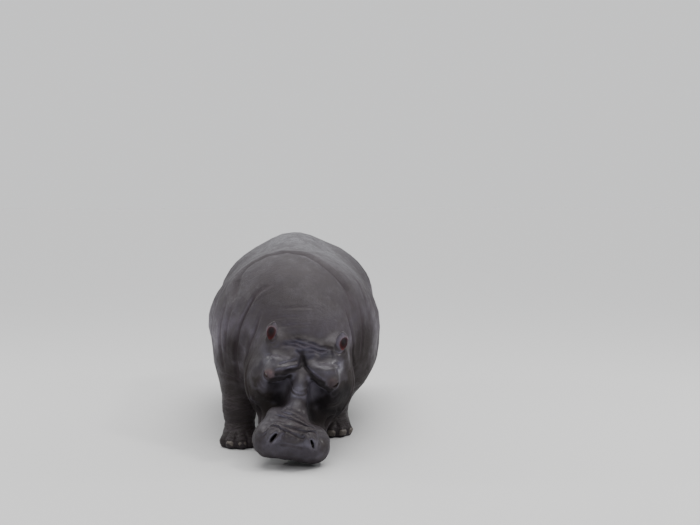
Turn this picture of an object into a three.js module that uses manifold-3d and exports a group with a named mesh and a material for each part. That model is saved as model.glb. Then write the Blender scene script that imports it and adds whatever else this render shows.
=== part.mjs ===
// A grazing hippopotamus bull, life size, in millimetres, +Z up, facing -Y, standing on z = 0.
// The animal is one smooth field of named masses. Each part is meshed from that field on a grid of its own,
// then parted from its neighbours by flat cuts.
import * as THREE from "three";
import { mergeVertices } from "three/addons/utils/BufferGeometryUtils.js";
import Module from "manifold-3d";

const wasm = await Module();
wasm.setup();

// ---- Driving dimensions ----
const LEFT = 1; // +X
const RIGHT = -1;
const FORE = { [RIGHT]: [-392, -690], [LEFT]: [300, -390] }; // where each forefoot stands
const HIND = { [RIGHT]: [-350, 960], [LEFT]: [385, 1200] };
const TOES = [-57, -19, 19, 57]; // the turn of each toe from the foot's middle
const SPLAY = 8; // each foot turns out by this
const NAIL = { radii: [29, 17, 24], reach: 127, height: 40, lean: 22 };
const HEAD = { at: [81, -1100, 789], pitch: 55, lean: 9 }; // the poll, between the ears
const EYE = { at: [216, -246, -8], radius: 27 };
const NOSTRIL = { at: [120, -668, -64], radii: [17, 34, 26], turn: 38, pitch: 25 };
const EAR = { at: [240, 34, 50], radii: [40, 27, 62], pitch: -30 };
const CUP = { at: [247, 15, 64], radii: [27, 22, 42], turn: 18 }; // the hollow of the ear
const MOUTH = [[-900, -330], [-560, -330], [-300, -285]]; // along the lips to the corner of the mouth
const SLIT = 4; // how far the closed lips stand apart
const CENTRE = [7.4, 50.9]; // middle of the whole footprint, which becomes the origin
const GAP = 0.4; // clear width of a cut between two parts
const SEAT = 1.2; // clear width round an eye or a nail in its seat
const SHORTEST = 0.5; // no edge of a finished part is shorter
const COLOUR = { hide: 0x5b5557, nail: 0x2b2624, eye: 0x1c120c };

// ---- Field shapes: each is a function (x, y, z) => distance, negative inside ----
const radians = THREE.MathUtils.degToRad;
const both = (make) => [make(LEFT), make(RIGHT)];
const on = (side, [x, y, z]) => [side * x, y, z];
const smoothMin = (a, b, k) => {
  const h = Math.max(k - Math.abs(a - b), 0) / k;
  return Math.min(a, b) - (h * h * k) / 4;
};

// pitch lifts the +Y end, and turn then swings it towards -X
function ellipsoid([cx, cy, cz], [rx, ry, rz], pitch = 0, turn = 0) {
  const [cp, sp] = [Math.cos(radians(pitch)), Math.sin(radians(pitch))];
  const [ct, st] = [Math.cos(radians(turn)), Math.sin(radians(turn))];
  return (x, y, z) => {
    const dx = ct * (x - cx) + st * (y - cy);
    const along = ct * (y - cy) - st * (x - cx);
    const dy = cp * along + sp * (z - cz);
    const dz = cp * (z - cz) - sp * along;
    const k0 = Math.hypot(dx / rx, dy / ry, dz / rz);
    const k1 = Math.hypot(dx / rx ** 2, dy / ry ** 2, dz / rz ** 2);
    return (k0 * (k0 - 1)) / Math.max(k1, 1e-9);
  };
}

function limb([ax, ay, az], ra, [bx, by, bz], rb) {
  const [ux, uy, uz] = [bx - ax, by - ay, bz - az];
  const uu = ux * ux + uy * uy + uz * uz;
  return (x, y, z) => {
    const t = THREE.MathUtils.clamp(((x - ax) * ux + (y - ay) * uy + (z - az) * uz) / uu, 0, 1);
    return Math.hypot(x - ax - t * ux, y - ay - t * uy, z - az - t * uz) - (ra + t * (rb - ra));
  };
}

// masses are [shape, width of its blend into what comes before it]
const joined = (masses) => (x, y, z) =>
  masses.reduce((d, [shape, blend]) => smoothMin(d, shape(x, y, z), blend), 1e4);

// ---- Trunk, neck and tail ----
const trunkMasses = [
  [ellipsoid([0, -300, 850], [560, 560, 530]), 160], // shoulders
  [ellipsoid([5, 320, 775], [690, 900, 485]), 200], // belly
  [ellipsoid([15, 330, 950], [520, 980, 405]), 160], // back
  [ellipsoid([38, 880, 900], [640, 600, 510]), 160], // rump
  [ellipsoid([8, 760, 1255], [205, 620, 180], -3), 130], // crest over the hips
  [ellipsoid([470, 260, 520], [190, 560, 230]), 160], // the left flank hangs lower
  [ellipsoid([10, -600, 520], [350, 330, 260]), 160], // chest
];
const neckMasses = [
  [ellipsoid([10, -560, 880], [440, 400, 420]), 160],
  [ellipsoid([45, -800, 740], [350, 250, 310]), 140],
  [ellipsoid([55, -840, 480], [335, 260, 230]), 120],
];
const tailMasses = [
  [limb([15, 1400, 1150], 75, [12, 1512, 980], 42), 60],
  [limb([12, 1512, 980], 42, [0, 1535, 680], 24), 30],
];

// ---- Legs ----
const toeAt = ([x, y], side, turn) => {
  const angle = radians(turn + side * SPLAY);
  return { angle, at: (reach) => [x + Math.sin(angle) * reach, y - 14 - Math.cos(angle) * reach * 1.05] };
};
const footMasses = (stand, side) => [
  [ellipsoid([...stand, 58], [118, 128, 92]), 60],
  ...TOES.map((turn) => {
    const toe = toeAt(stand, side, turn);
    return [ellipsoid([...toe.at(88), 40], [46, 60, 56], -12, THREE.MathUtils.radToDeg(toe.angle)), 30];
  }),
];
function foreMasses(side) {
  const [x, y] = FORE[side];
  const swing = y + 520;
  return [
    [ellipsoid([side * 345, -400 + swing * 0.2, 760], [240, 340, 420]), 120],
    [limb([side * 385, -420 + swing * 0.3, 540], 185, [x, y + 60, 260], 112), 110],
    [limb([x, y + 60, 270], 108, [x, y + 22, 90], 102), 60],
    ...footMasses([x, y], side),
  ];
}
function hindMasses(side) {
  const [x, y] = HIND[side];
  const swing = y - 1080;
  return [
    [ellipsoid([10 + side * 350, 960, 760], [275, 410, 430]), 120],
    [limb([10 + side * 360, 930 + swing * 0.4, 560], 210, [x, y + 110, 310], 116), 110],
    [limb([x, y + 110, 320], 112, [x, y + 40, 90], 106), 70],
    ...footMasses([x, y], side),
  ];
}

// ---- Head, in its own frame: the poll is the origin, the muzzle lies along -Y, the crown is +Z ----
const headFrame = new THREE.Matrix4()
  .makeRotationY(radians(HEAD.lean))
  .multiply(new THREE.Matrix4().makeRotationX(radians(HEAD.pitch)))
  .setPosition(...HEAD.at);
const inHead = (shape) => {
  const m = headFrame.clone().invert().elements;
  return (x, y, z) =>
    shape(
      m[0] * x + m[4] * y + m[8] * z + m[12],
      m[1] * x + m[5] * y + m[9] * z + m[13],
      m[2] * x + m[6] * y + m[10] * z + m[14],
    );
};
const headMasses = [
  [ellipsoid([0, -85, -150], [245, 170, 165]), 60], // cranium
  [limb([0, -150, -120], 86, [0, -290, -125], 68), 50], // between the eyes
  [ellipsoid([0, -268, -70], [60, 88, 74]), 36], // bulb at the top of the bridge
  [limb([0, -300, -125], 66, [0, -560, -160], 118), 50], // bridge of the nose
  [limb([0, -60, -340], 195, [0, -490, -320], 150), 90], // jaw and throat
  ...both((s) => [ellipsoid([s * 235, -140, -300], [145, 215, 215]), 90]), // jowls
  ...both((s) => [ellipsoid([s * 205, -205, -160], [110, 150, 120]), 60]), // cheekbones
  ...both((s) => [ellipsoid([s * 172, -222, -38], [86, 82, 74]), 30]), // orbits
  ...both((s) => [limb([s * 28, -196, -56], 48, [s * 160, -182, -10], 50), 36]), // brows
  ...both((s) => [limb([s * 200, -120, -45], 54, [s * 218, -15, -42], 62), 50]), // temples
  ...both((s) => [ellipsoid([s * 205, 15, -135], [95, 130, 115]), 70]), // behind the temples
  [ellipsoid([0, -642, -188], [192, 116, 122]), 70], // muzzle
  ...both((s) => [ellipsoid([s * 152, -622, -215], [104, 124, 122]), 60]), // upper lips
  ...both((s) => [ellipsoid([s * 106, -634, -90], [64, 74, 64]), 34]), // nostril mounds
  [ellipsoid([0, -535, -340], [195, 145, 88]), 60], // chin
  ...both((s) => [limb([s * 120, -530, -340], 80, [s * 225, -160, -400], 95), 80]), // edge of the jaw
  ...both((s) => [ellipsoid(on(s, EAR.at), EAR.radii, EAR.pitch), 26]), // ears
];

const body = joined([
  ...trunkMasses,
  ...neckMasses,
  ...both(foreMasses).flat(),
  ...both(hindMasses).flat(),
  ...tailMasses,
  ...headMasses.map(([shape, blend]) => [inHead(shape), blend]),
]);

// ---- Solids ----
const identity = new THREE.Matrix4();
const solid = (positions, index) =>
  new wasm.Manifold(
    new wasm.Mesh({
      numProp: 3,
      vertProperties: new Float32Array(positions),
      triVerts: new Uint32Array(index),
    }),
  );

function solidOf(geometry, matrix = identity) {
  const bare = geometry.clone().applyMatrix4(matrix);
  bare.deleteAttribute("normal");
  bare.deleteAttribute("uv");
  const merged = mergeVertices(bare, 1e-3);
  return solid(merged.attributes.position.array, merged.index.array);
}

// A closed mesh of the body's surface inside a box, one vertex in each cell that the surface crosses
function netOf(low, high, cell, frame) {
  const count = low.map((l, n) => Math.ceil((high[n] - l) / cell[n]) + 1);
  const step = [1, count[0], count[0] * count[1]];
  const at = (g) => g[0] + g[1] * step[1] + g[2] * step[2];
  const point = new THREE.Vector3();
  const place = (g) => point.set(...g.map((v, n) => low[n] + v * cell[n])).applyMatrix4(frame);
  const outer = (g) => g.some((v, n) => v === 0 || v === count[n] - 1);
  const grid = (visit) => {
    for (let k = 0; k < count[2]; k++)
      for (let j = 0; j < count[1]; j++) for (let i = 0; i < count[0]; i++) visit([i, j, k]);
  };
  const values = new Float64Array(count[0] * count[1] * count[2]);
  grid((g) => {
    place(g);
    values[at(g)] = outer(g) ? 1 : body(point.x, point.y, point.z);
  });

  const corners = [0, 1, 2, 3, 4, 5, 6, 7].map((c) => [c & 1, (c >> 1) & 1, (c >> 2) & 1]);
  const edges = [1, 2, 4].flatMap((bit) =>
    [0, 1, 2, 3, 4, 5, 6, 7].filter((c) => !(c & bit)).map((c) => [c, c | bit]),
  );
  const positions = [];
  const vertexOf = new Map();
  grid((g) => {
    if (g.some((v, n) => v === count[n] - 1)) return;
    const v = corners.map((c) => values[at([g[0] + c[0], g[1] + c[1], g[2] + c[2]])]);
    const crossed = edges.filter(([a, b]) => v[a] < 0 !== v[b] < 0);
    if (!crossed.length) return;
    const mean = [0, 0, 0];
    for (const [a, b] of crossed) {
      const t = v[a] / (v[a] - v[b]);
      for (let n = 0; n < 3; n++)
        mean[n] += (corners[a][n] + t * (corners[b][n] - corners[a][n])) / crossed.length;
    }
    place(g.map((value, n) => value + mean[n]));
    settle(point, Math.min(...cell) / 3);
    vertexOf.set(at(g), positions.length / 3);
    positions.push(point.x, point.y, point.z);
  });

  const index = [];
  grid((g) => {
    for (let axis = 0; axis < 3; axis++) {
      const [b, c] = [(axis + 1) % 3, (axis + 2) % 3];
      if (g[axis] === count[axis] - 1 || g[b] === 0 || g[c] === 0) continue;
      const here = at(g);
      const inside = values[here] < 0;
      if (inside === values[here + step[axis]] < 0) continue;
      const ring = [here - step[b] - step[c], here - step[c], here, here - step[b]];
      const [p, q, r, s] = (inside ? ring : ring.reverse()).map((n) => vertexOf.get(n));
      index.push(p, q, r, p, r, s);
    }
  });
  return pinched(index) ? null : solid(positions, index);
}

// A mesh is pinched where two sheets share an edge, so that the same edge runs the same way twice
function pinched(index) {
  const seen = new Set();
  for (let n = 0; n < index.length; n += 3)
    for (const [a, b] of [[0, 1], [1, 2], [2, 0]]) seen.add(`${index[n + a]} ${index[n + b]}`);
  return seen.size < index.length;
}

// Boolean cuts leave edges far shorter than the work needs: each is drawn together into one point,
// where that leaves the surface whole, which it does if its ends have just two neighbours in common
function welded(made) {
  const { vertProperties, triVerts } = made.getMesh();
  const points = Array.from({ length: vertProperties.length / 3 }, (_, n) =>
    new THREE.Vector3().fromArray(vertProperties, 3 * n),
  );
  let triangles = Array.from({ length: triVerts.length / 3 }, (_, n) => [
    ...triVerts.slice(3 * n, 3 * n + 3),
  ]);
  for (;;) {
    const near = new Map();
    for (const t of triangles) for (const v of t) near.set(v, (near.get(v) ?? new Set()).union(new Set(t)));
    const common = (a, b) => near.get(a).intersection(near.get(b)).size - 2;
    const edges = triangles.flatMap(([a, b, c]) => [[a, b], [b, c], [c, a]]);
    const short = edges.find(([a, b]) => points[a].distanceTo(points[b]) < SHORTEST && common(a, b) === 2);
    if (!short) break;
    const [kept, gone] = short;
    triangles = triangles
      .map((t) => t.map((v) => (v === gone ? kept : v)))
      .filter(([a, b, c]) => a !== b && b !== c && c !== a);
  }
  const used = [...new Set(triangles.flat())];
  const numberOf = new Map(used.map((v, n) => [v, n]));
  return solid(used.flatMap((v) => points[v].toArray()), triangles.flat().map((v) => numberOf.get(v)));
}

// Moves a point onto the body's surface along its slope, by no more than reach
function settle(point, reach) {
  const start = point.clone();
  const slope = new THREE.Vector3();
  for (let n = 0; n < 4; n++) {
    const { x, y, z } = point;
    const d = body(x, y, z);
    slope.set(body(x + 1, y, z) - d, body(x, y + 1, z) - d, body(x, y, z + 1) - d);
    point.addScaledVector(slope, -d / Math.max(slope.lengthSq(), 0.2));
  }
  const moved = point.clone().sub(start);
  if (moved.length() > reach) point.copy(start).addScaledVector(moved, reach / moved.length());
}

// A grid that meets a saddle badly gives a pinched mesh, so the next try is shifted a little
function meshOf(low, high, cell, frame = identity) {
  for (let shift = 0; shift < 1; shift += 0.137) {
    const made = netOf(low.map((l, n) => l - shift * cell[n]), high, cell, frame);
    if (made) return made;
  }
  throw new Error("no shift of the grid gives a sound mesh");
}

// ---- Cutters ----
const block = (low, high, frame = identity) =>
  solidOf(
    new THREE.BoxGeometry(...high.map((h, n) => h - low[n])),
    frame.clone().multiply(new THREE.Matrix4().makeTranslation(...high.map((h, n) => (h + low[n]) / 2))),
  );

// An outline in the plane across an axis, (y, z) for "x" and (x, z) for "y", drawn out from low to high
function prism(outline, axis, low, high, frame = identity) {
  const points = outline.map(([a, b]) => new THREE.Vector2(a, b));
  const matrix = new THREE.Matrix4();
  if (axis === "x") {
    const [x, y, z] = [0, 1, 2].map((n) => new THREE.Vector3().setComponent(n, 1));
    matrix.makeBasis(y, z, x).setPosition(low, 0, 0);
  } else matrix.makeRotationX(Math.PI / 2).setPosition(0, high, 0);
  const extent = { depth: high - low, bevelEnabled: false };
  const geometry = new THREE.ExtrudeGeometry(new THREE.Shape(points), extent);
  return solidOf(geometry, frame.clone().multiply(matrix));
}

function egg(at, radii, { frame = identity, pitch = 0, turn = 0, faces = [6, 4] } = {}) {
  const matrix = frame
    .clone()
    .multiply(new THREE.Matrix4().makeTranslation(...at))
    .multiply(new THREE.Matrix4().makeRotationZ(radians(turn)))
    .multiply(new THREE.Matrix4().makeRotationX(radians(pitch)))
    .multiply(new THREE.Matrix4().makeScale(...radii));
  return solidOf(new THREE.SphereGeometry(1, ...faces), matrix);
}

const largest = (made) => made.decompose().sort((a, b) => b.volume() - a.volume())[0];
const less = (made, cutters) => cutters.reduce((left, cutter) => left.subtract(cutter), made);

// ---- Spaces: each holds one part, and grow widens it by the gap, to cut the part's neighbours with ----
const FAR = 3000;
const BROAD = 900; // wider than the animal is on either side
const DEEP = -200; // lower than the field reaches
const floor = block([-FAR, -FAR, -FAR], [FAR, FAR, 0]);
const NAPE = [-1060, 850];
const THROAT = [-373, DEEP];
const headSpace = (grow = 0) => {
  const [nape, throat] = [NAPE[0] + grow, THROAT[0] + grow];
  const outline = [[nape, 1200], [-FAR, 1200], [-FAR, DEEP], [throat, DEEP], [nape, NAPE[1]]];
  return prism(outline, "x", -BROAD, BROAD);
};
const neckSpace = (grow = 0) =>
  prism([[grow - 430, 1500], [-FAR, 1500], [-FAR, DEEP], [grow - 611, DEEP]], "x", -BROAD, BROAD);
const tailSpace = (grow = 0) => {
  const outline = [[1430 - grow, 1260], [1500 - grow, 1010], [1500 - grow, 500], [2000, 500], [2000, 1260]];
  return prism(outline, "x", -140, 160);
};
const legSpace = ([, y], side, grow = 0) => {
  const [inner, outer] = [side * (150 - grow), side * BROAD];
  const outline = [[inner, DEEP], [inner, 264 + grow], [outer, 579 + grow], [outer, DEEP]];
  return prism(outline, "y", y - 200 - grow, y + 280 + grow);
};
const earSpace = (side, grow = 0) => {
  const across = [side * (160 - grow), side * (340 + grow)].sort((a, b) => a - b);
  return block([across[0], -70 - grow, 31 - grow], [across[1], 170 + grow, 300], headFrame);
};

// ---- Parts ----
const group = new THREE.Group();
group.position.set(-CENTRE[0], -CENTRE[1], 0);
function add(name, made, color, roughness = 0.7) {
  const mesh = welded(made).getMesh();
  const geometry = new THREE.BufferGeometry();
  geometry.setAttribute("position", new THREE.BufferAttribute(mesh.vertProperties, 3));
  geometry.setIndex(new THREE.BufferAttribute(mesh.triVerts, 1));
  geometry.computeVertexNormals();
  const node = new THREE.Mesh(geometry, new THREE.MeshStandardMaterial({ color, roughness }));
  node.name = name;
  group.add(node);
}

const legs = [
  ["fore", FORE],
  ["hind", HIND],
].flatMap(([name, stands]) =>
  both((side) => ({ name: `${name}leg_${side === LEFT ? "left" : "right"}`, side, stand: stands[side] })),
);
const legCuts = legs.map(({ stand, side }) => legSpace(stand, side, GAP));

const trunk = meshOf([-900, -900, -80], [900, 1800, 1700], [104, 156, 104]);
add("trunk", largest(less(trunk, [floor, neckSpace(GAP), tailSpace(GAP), ...legCuts])), COLOUR.hide);
const neck = meshOf([-800, -1300, 100], [800, -300, 1600], [95, 105, 95]);
add("neck", largest(less(neck.intersect(neckSpace()), [headSpace(GAP), ...legCuts])), COLOUR.hide);
const tail = meshOf([-130, 1300, 500], [150, 1700, 1350], [34, 34, 80]);
add("tail", tail.intersect(tailSpace()), COLOUR.hide);

for (const { name, side, stand } of legs) {
  const [x, y] = stand;
  const net = meshOf([x - 330, y - 320, -80], [x + 330, y + 420, 640], [64, 64, 74]);
  let leg = net.intersect(legSpace(stand, side)).subtract(floor);
  TOES.forEach((turn, toe) => {
    const at = [...toeAt(stand, side, turn).at(NAIL.reach), NAIL.height];
    const lie = { turn: turn + side * SPLAY, pitch: NAIL.lean };
    const nail = (grow) => egg(at, NAIL.radii.map((r) => r + grow), lie);
    leg = leg.subtract(nail(SEAT));
    add(`${name.replace(/^(fore|hind)leg/, "nail_$1")}_${toe + 1}`, nail(0), COLOUR.nail, 0.5);
  });
  add(name, largest(leg), COLOUR.hide);
}

// The mouth is a thin closed slit from lip to lip, and each nostril is a slanting pit
function mouth() {
  const line = new THREE.QuadraticBezierCurve(...MOUTH.map(([y, z]) => new THREE.Vector2(y, z)));
  const edge = (lift) => line.getPoints(3).map((p) => [p.x, p.y + lift]);
  return prism([...edge(0), ...edge(SLIT).reverse()], "x", -BROAD / 2, BROAD / 2, headFrame);
}
const nostril = (side) =>
  egg(on(side, NOSTRIL.at), NOSTRIL.radii, {
    frame: headFrame,
    turn: side * NOSTRIL.turn,
    pitch: NOSTRIL.pitch,
  });
const eye = (side, grow = 0) => {
  const radius = EYE.radius + grow;
  return egg(on(side, EYE.at), [radius, radius, radius], { frame: headFrame, pitch: 60, faces: [8, 6] });
};
const headNet = meshOf([-450, -900, -680], [450, 180, 300], [42, 52, 42], headFrame);
const pits = both((side) => [earSpace(side, GAP), nostril(side), eye(side, SEAT)]).flat();
const head = largest(less(headNet.intersect(headSpace()), [floor, mouth(), ...pits, ...legCuts]));
add("head", head, COLOUR.hide);
for (const [side, name] of [[LEFT, "left"], [RIGHT, "right"]]) {
  const middle = side * EAR.at[0];
  const net = meshOf([middle - 110, -90, -24], [middle + 110, 190, 220], [18, 18, 24], headFrame);
  const lie = { frame: headFrame, turn: side * CUP.turn, pitch: EAR.pitch, faces: [7, 5] };
  const cup = egg(on(side, CUP.at), CUP.radii, lie);
  add(`ear_${name}`, largest(net.intersect(earSpace(side)).subtract(cup)), COLOUR.hide);
  add(`eye_${name}`, eye(side), COLOUR.eye, 0.1);
}

export default group;
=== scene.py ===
"""A grazing hippopotamus bull, life size, in metres, +Z up, facing -Y, standing on z = 0.

The hide is one closed skin: a smooth field of named masses, the same ones as in the solid body, with the
folds, lids, ear cups, nostrils and lips that the solids leave out. Eyes, nails and bristles are pieces of
their own.
"""
import math

import bmesh
import bpy
import numpy as np
import openvdb
from mathutils import Matrix, Vector


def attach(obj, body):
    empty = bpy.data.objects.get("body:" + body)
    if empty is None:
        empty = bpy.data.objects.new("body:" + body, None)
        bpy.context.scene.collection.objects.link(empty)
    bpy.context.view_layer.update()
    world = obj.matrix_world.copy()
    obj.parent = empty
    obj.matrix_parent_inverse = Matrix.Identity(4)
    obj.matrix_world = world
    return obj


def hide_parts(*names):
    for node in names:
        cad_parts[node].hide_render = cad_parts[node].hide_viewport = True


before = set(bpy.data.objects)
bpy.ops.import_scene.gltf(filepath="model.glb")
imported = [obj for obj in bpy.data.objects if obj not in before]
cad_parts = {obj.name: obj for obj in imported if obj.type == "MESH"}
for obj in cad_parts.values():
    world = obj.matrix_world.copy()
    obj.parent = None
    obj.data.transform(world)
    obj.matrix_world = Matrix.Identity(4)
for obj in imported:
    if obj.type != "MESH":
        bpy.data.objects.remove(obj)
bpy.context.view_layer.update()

# ---- Driving dimensions ----
LEFT, RIGHT = 1, -1                                   # +X is the animal's left
SIDES = {LEFT: "left", RIGHT: "right"}
CHEST = np.array([-0.0074, -0.0509, 0.0])             # the point that every place below is measured from
FORE = {RIGHT: (-0.392, -0.690), LEFT: (0.300, -0.390)}  # where each foot stands
HIND = {RIGHT: (-0.350, 0.960), LEFT: (0.385, 1.200)}
TOES = (-57, -19, 19, 57)                             # the turn of each toe from the foot's middle
SPLAY = 8
TOE_REACH = 0.088                                     # from the foot's middle to the middle of each toe
SHIN_RINGS = (0.135, 0.175, 0.225, 0.285, 0.350)      # heights of the folds round each shin
SHIN_REACH = 0.130
POLL = (0.081, -1.100, 0.789)                         # the head's origin, between the ears
HEAD_TURN = Matrix.Rotation(math.radians(9), 3, "Y") @ Matrix.Rotation(math.radians(55), 3, "X")
EYE = (0.216, -0.246, -0.008)                         # in the head's own frame, as all on the head is
EYE_RADIUS = 0.027
EAR = (0.240, 0.034, 0.050)
NOSTRIL = (0.120, -0.668, -0.064)
BAND = 0.045                                          # the field is worked out this near to the hide
COARSE, FINE = 0.036, 0.009                           # cells of the first and of the final grid
BLOCK = 0.18                                          # side of the blocks that the field is worked out in
FIELD_BOX = (-0.80, -1.62, -0.04), (0.80, 1.62, 1.54)  # all of the hide lies in it
BODY_FACES = 98000                                    # triangles before the fine places are refined
SETTLE_REACH = 0.006                                  # the furthest that a corner moves after that


# ---- Field shapes: each is a function of 3 x N points that gives distances, negative inside ----
def column(point):
    return np.asarray(point, dtype=float)[:, None]


def length(vectors):
    return np.sqrt((vectors * vectors).sum(0))


def hill(x, width):
    return np.exp(-(x / width) ** 2)


def share(x, whole):
    return np.clip(x / whole, 0, 1)


def smooth_min(a, b, blend):
    h = np.maximum(blend - np.abs(a - b), 0) / blend
    return np.minimum(a, b) - h * h * blend / 4


def smooth_max(a, b, blend):
    return -smooth_min(-a, -b, blend)


def ellipsoid(centre, radii, pitch=0, turn=0):
    """pitch lifts the +Y end, and turn then swings it towards -X."""
    turned = Matrix.Rotation(math.radians(turn), 3, "Z") @ Matrix.Rotation(math.radians(pitch), 3, "X")
    own = np.array(turned.inverted())
    c, r = column(centre), column(radii)

    def distance(p):
        q = own @ (p - c)
        near = length(q / r)
        return near * (near - 1) / np.maximum(length(q / r ** 2), 1e-9)
    distance.hub = (np.array(centre), max(radii))
    return distance


def limb(a, a_radius, b, b_radius):
    """A round stem from a to b, whose radius changes evenly between them."""
    middle = (np.array(a) + np.array(b)) / 2
    reach = math.dist(a, b) / 2 + max(a_radius, b_radius)
    a, b = column(a), column(b)
    axis = b - a

    def distance(p):
        t = np.clip(((p - a) * axis).sum(0) / (axis * axis).sum(), 0, 1)
        return length(p - a - axis * t) - (a_radius + t * (b_radius - a_radius))
    distance.hub = (middle, reach)
    return distance


def joined(masses):
    """Joins masses in order, leaving out each one that is too far away to touch the hide there."""
    hubs = np.array([shape.hub[0] for shape, _ in masses])
    reaches = np.array([shape.hub[1] + blend + BAND for shape, blend in masses])

    def distance(p):
        d = np.full(p.shape[1], 1.0)
        gap = np.linalg.norm(hubs - np.clip(hubs, p.min(1), p.max(1)), axis=1)
        for n in np.flatnonzero(gap < reaches):
            shape, blend = masses[n]
            d = smooth_min(d, shape(p), blend)
        return d
    return distance


def in_blocks(distance, p):
    """Works a field out block by block, so that each block leaves out what is far from it."""
    cell = np.floor(p / BLOCK).astype(int)
    key = (cell[0] * 1009 + cell[1]) * 1009 + cell[2]  # a number of its own for each block
    order = np.argsort(key, kind="stable")
    result = np.empty(p.shape[1])
    for part in np.split(order, np.flatnonzero(np.diff(key[order])) + 1):
        result[part] = distance(p[:, part])
    return result


def both(make):
    return [make(LEFT), make(RIGHT)]


def on(side, points):
    """Places that are given for the left side, put on either side."""
    return [(side * x, y, z) for x, y, z in points]


# ---- Trunk, neck and tail ----
trunk = [
    (ellipsoid((0, -0.300, 0.850), (0.560, 0.560, 0.530)), 0.160),         # shoulders
    (ellipsoid((0.005, 0.320, 0.775), (0.690, 0.900, 0.485)), 0.200),      # belly
    (ellipsoid((0.015, 0.330, 0.950), (0.520, 0.980, 0.405)), 0.160),      # back
    (ellipsoid((0.038, 0.880, 0.900), (0.640, 0.600, 0.510)), 0.160),      # rump
    (ellipsoid((0.008, 0.760, 1.255), (0.205, 0.620, 0.180), -3), 0.130),  # crest over the hips
    (ellipsoid((0.470, 0.260, 0.520), (0.190, 0.560, 0.230)), 0.160),      # the left flank hangs lower
    (ellipsoid((0.010, -0.600, 0.520), (0.350, 0.330, 0.260)), 0.160),     # chest
]
neck = [
    (ellipsoid((0.010, -0.560, 0.880), (0.440, 0.400, 0.420)), 0.160),
    (ellipsoid((0.045, -0.800, 0.740), (0.350, 0.250, 0.310)), 0.140),
    (ellipsoid((0.055, -0.840, 0.480), (0.335, 0.260, 0.230)), 0.120),
]
tail = [
    (limb((0.015, 1.400, 1.150), 0.075, (0.012, 1.512, 0.980), 0.042), 0.060),
    (limb((0.012, 1.512, 0.980), 0.042, (0, 1.535, 0.680), 0.024), 0.030),
]


# ---- Legs ----
def toe_place(stand, side, turn, reach):
    angle = math.radians(turn + side * SPLAY)
    return stand[0] + math.sin(angle) * reach, stand[1] - 0.014 - math.cos(angle) * reach * 1.05


def foot(stand, side):
    toes = [
        (ellipsoid((*toe_place(stand, side, turn, TOE_REACH), 0.040), (0.046, 0.060, 0.056), -12,
                   turn + side * SPLAY), 0.030)
        for turn in TOES
    ]
    return [(ellipsoid((*stand, 0.058), (0.118, 0.128, 0.092)), 0.060)] + toes


def foreleg(side):
    x, y = FORE[side]
    swing = y + 0.520                                 # how far back the foot stands from under the shoulder
    shoulder = ellipsoid((side * 0.345, -0.400 + swing * 0.2, 0.760), (0.240, 0.340, 0.420))
    upper = limb((side * 0.385, -0.420 + swing * 0.3, 0.540), 0.185, (x, y + 0.060, 0.260), 0.112)
    lower = limb((x, y + 0.060, 0.270), 0.108, (x, y + 0.022, 0.090), 0.102)
    return [(shoulder, 0.120), (upper, 0.110), (lower, 0.060)] + foot((x, y), side)


def hindleg(side):
    x, y = HIND[side]
    swing = y - 1.080                                 # how far back the foot stands from under the hip
    thigh = ellipsoid((0.010 + side * 0.350, 0.960, 0.760), (0.275, 0.410, 0.430))
    upper = limb((0.010 + side * 0.360, 0.930 + swing * 0.4, 0.560), 0.210, (x, y + 0.110, 0.310), 0.116)
    lower = limb((x, y + 0.110, 0.320), 0.112, (x, y + 0.040, 0.090), 0.106)
    return [(thigh, 0.120), (upper, 0.110), (lower, 0.070)] + foot((x, y), side)


# ---- Head, in its own frame: the poll is the origin, the muzzle lies along -Y, the crown is +Z ----
TO_HEAD = np.array(HEAD_TURN.transposed())


def head_place(p):
    return TO_HEAD @ (p - column(POLL))


def from_head(q):
    return np.array(HEAD_TURN) @ np.asarray(q, dtype=float) + np.array(POLL)


def in_head(shape):
    def distance(p):
        return shape(head_place(p))
    distance.hub = (from_head(shape.hub[0]), shape.hub[1])
    return distance


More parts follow.
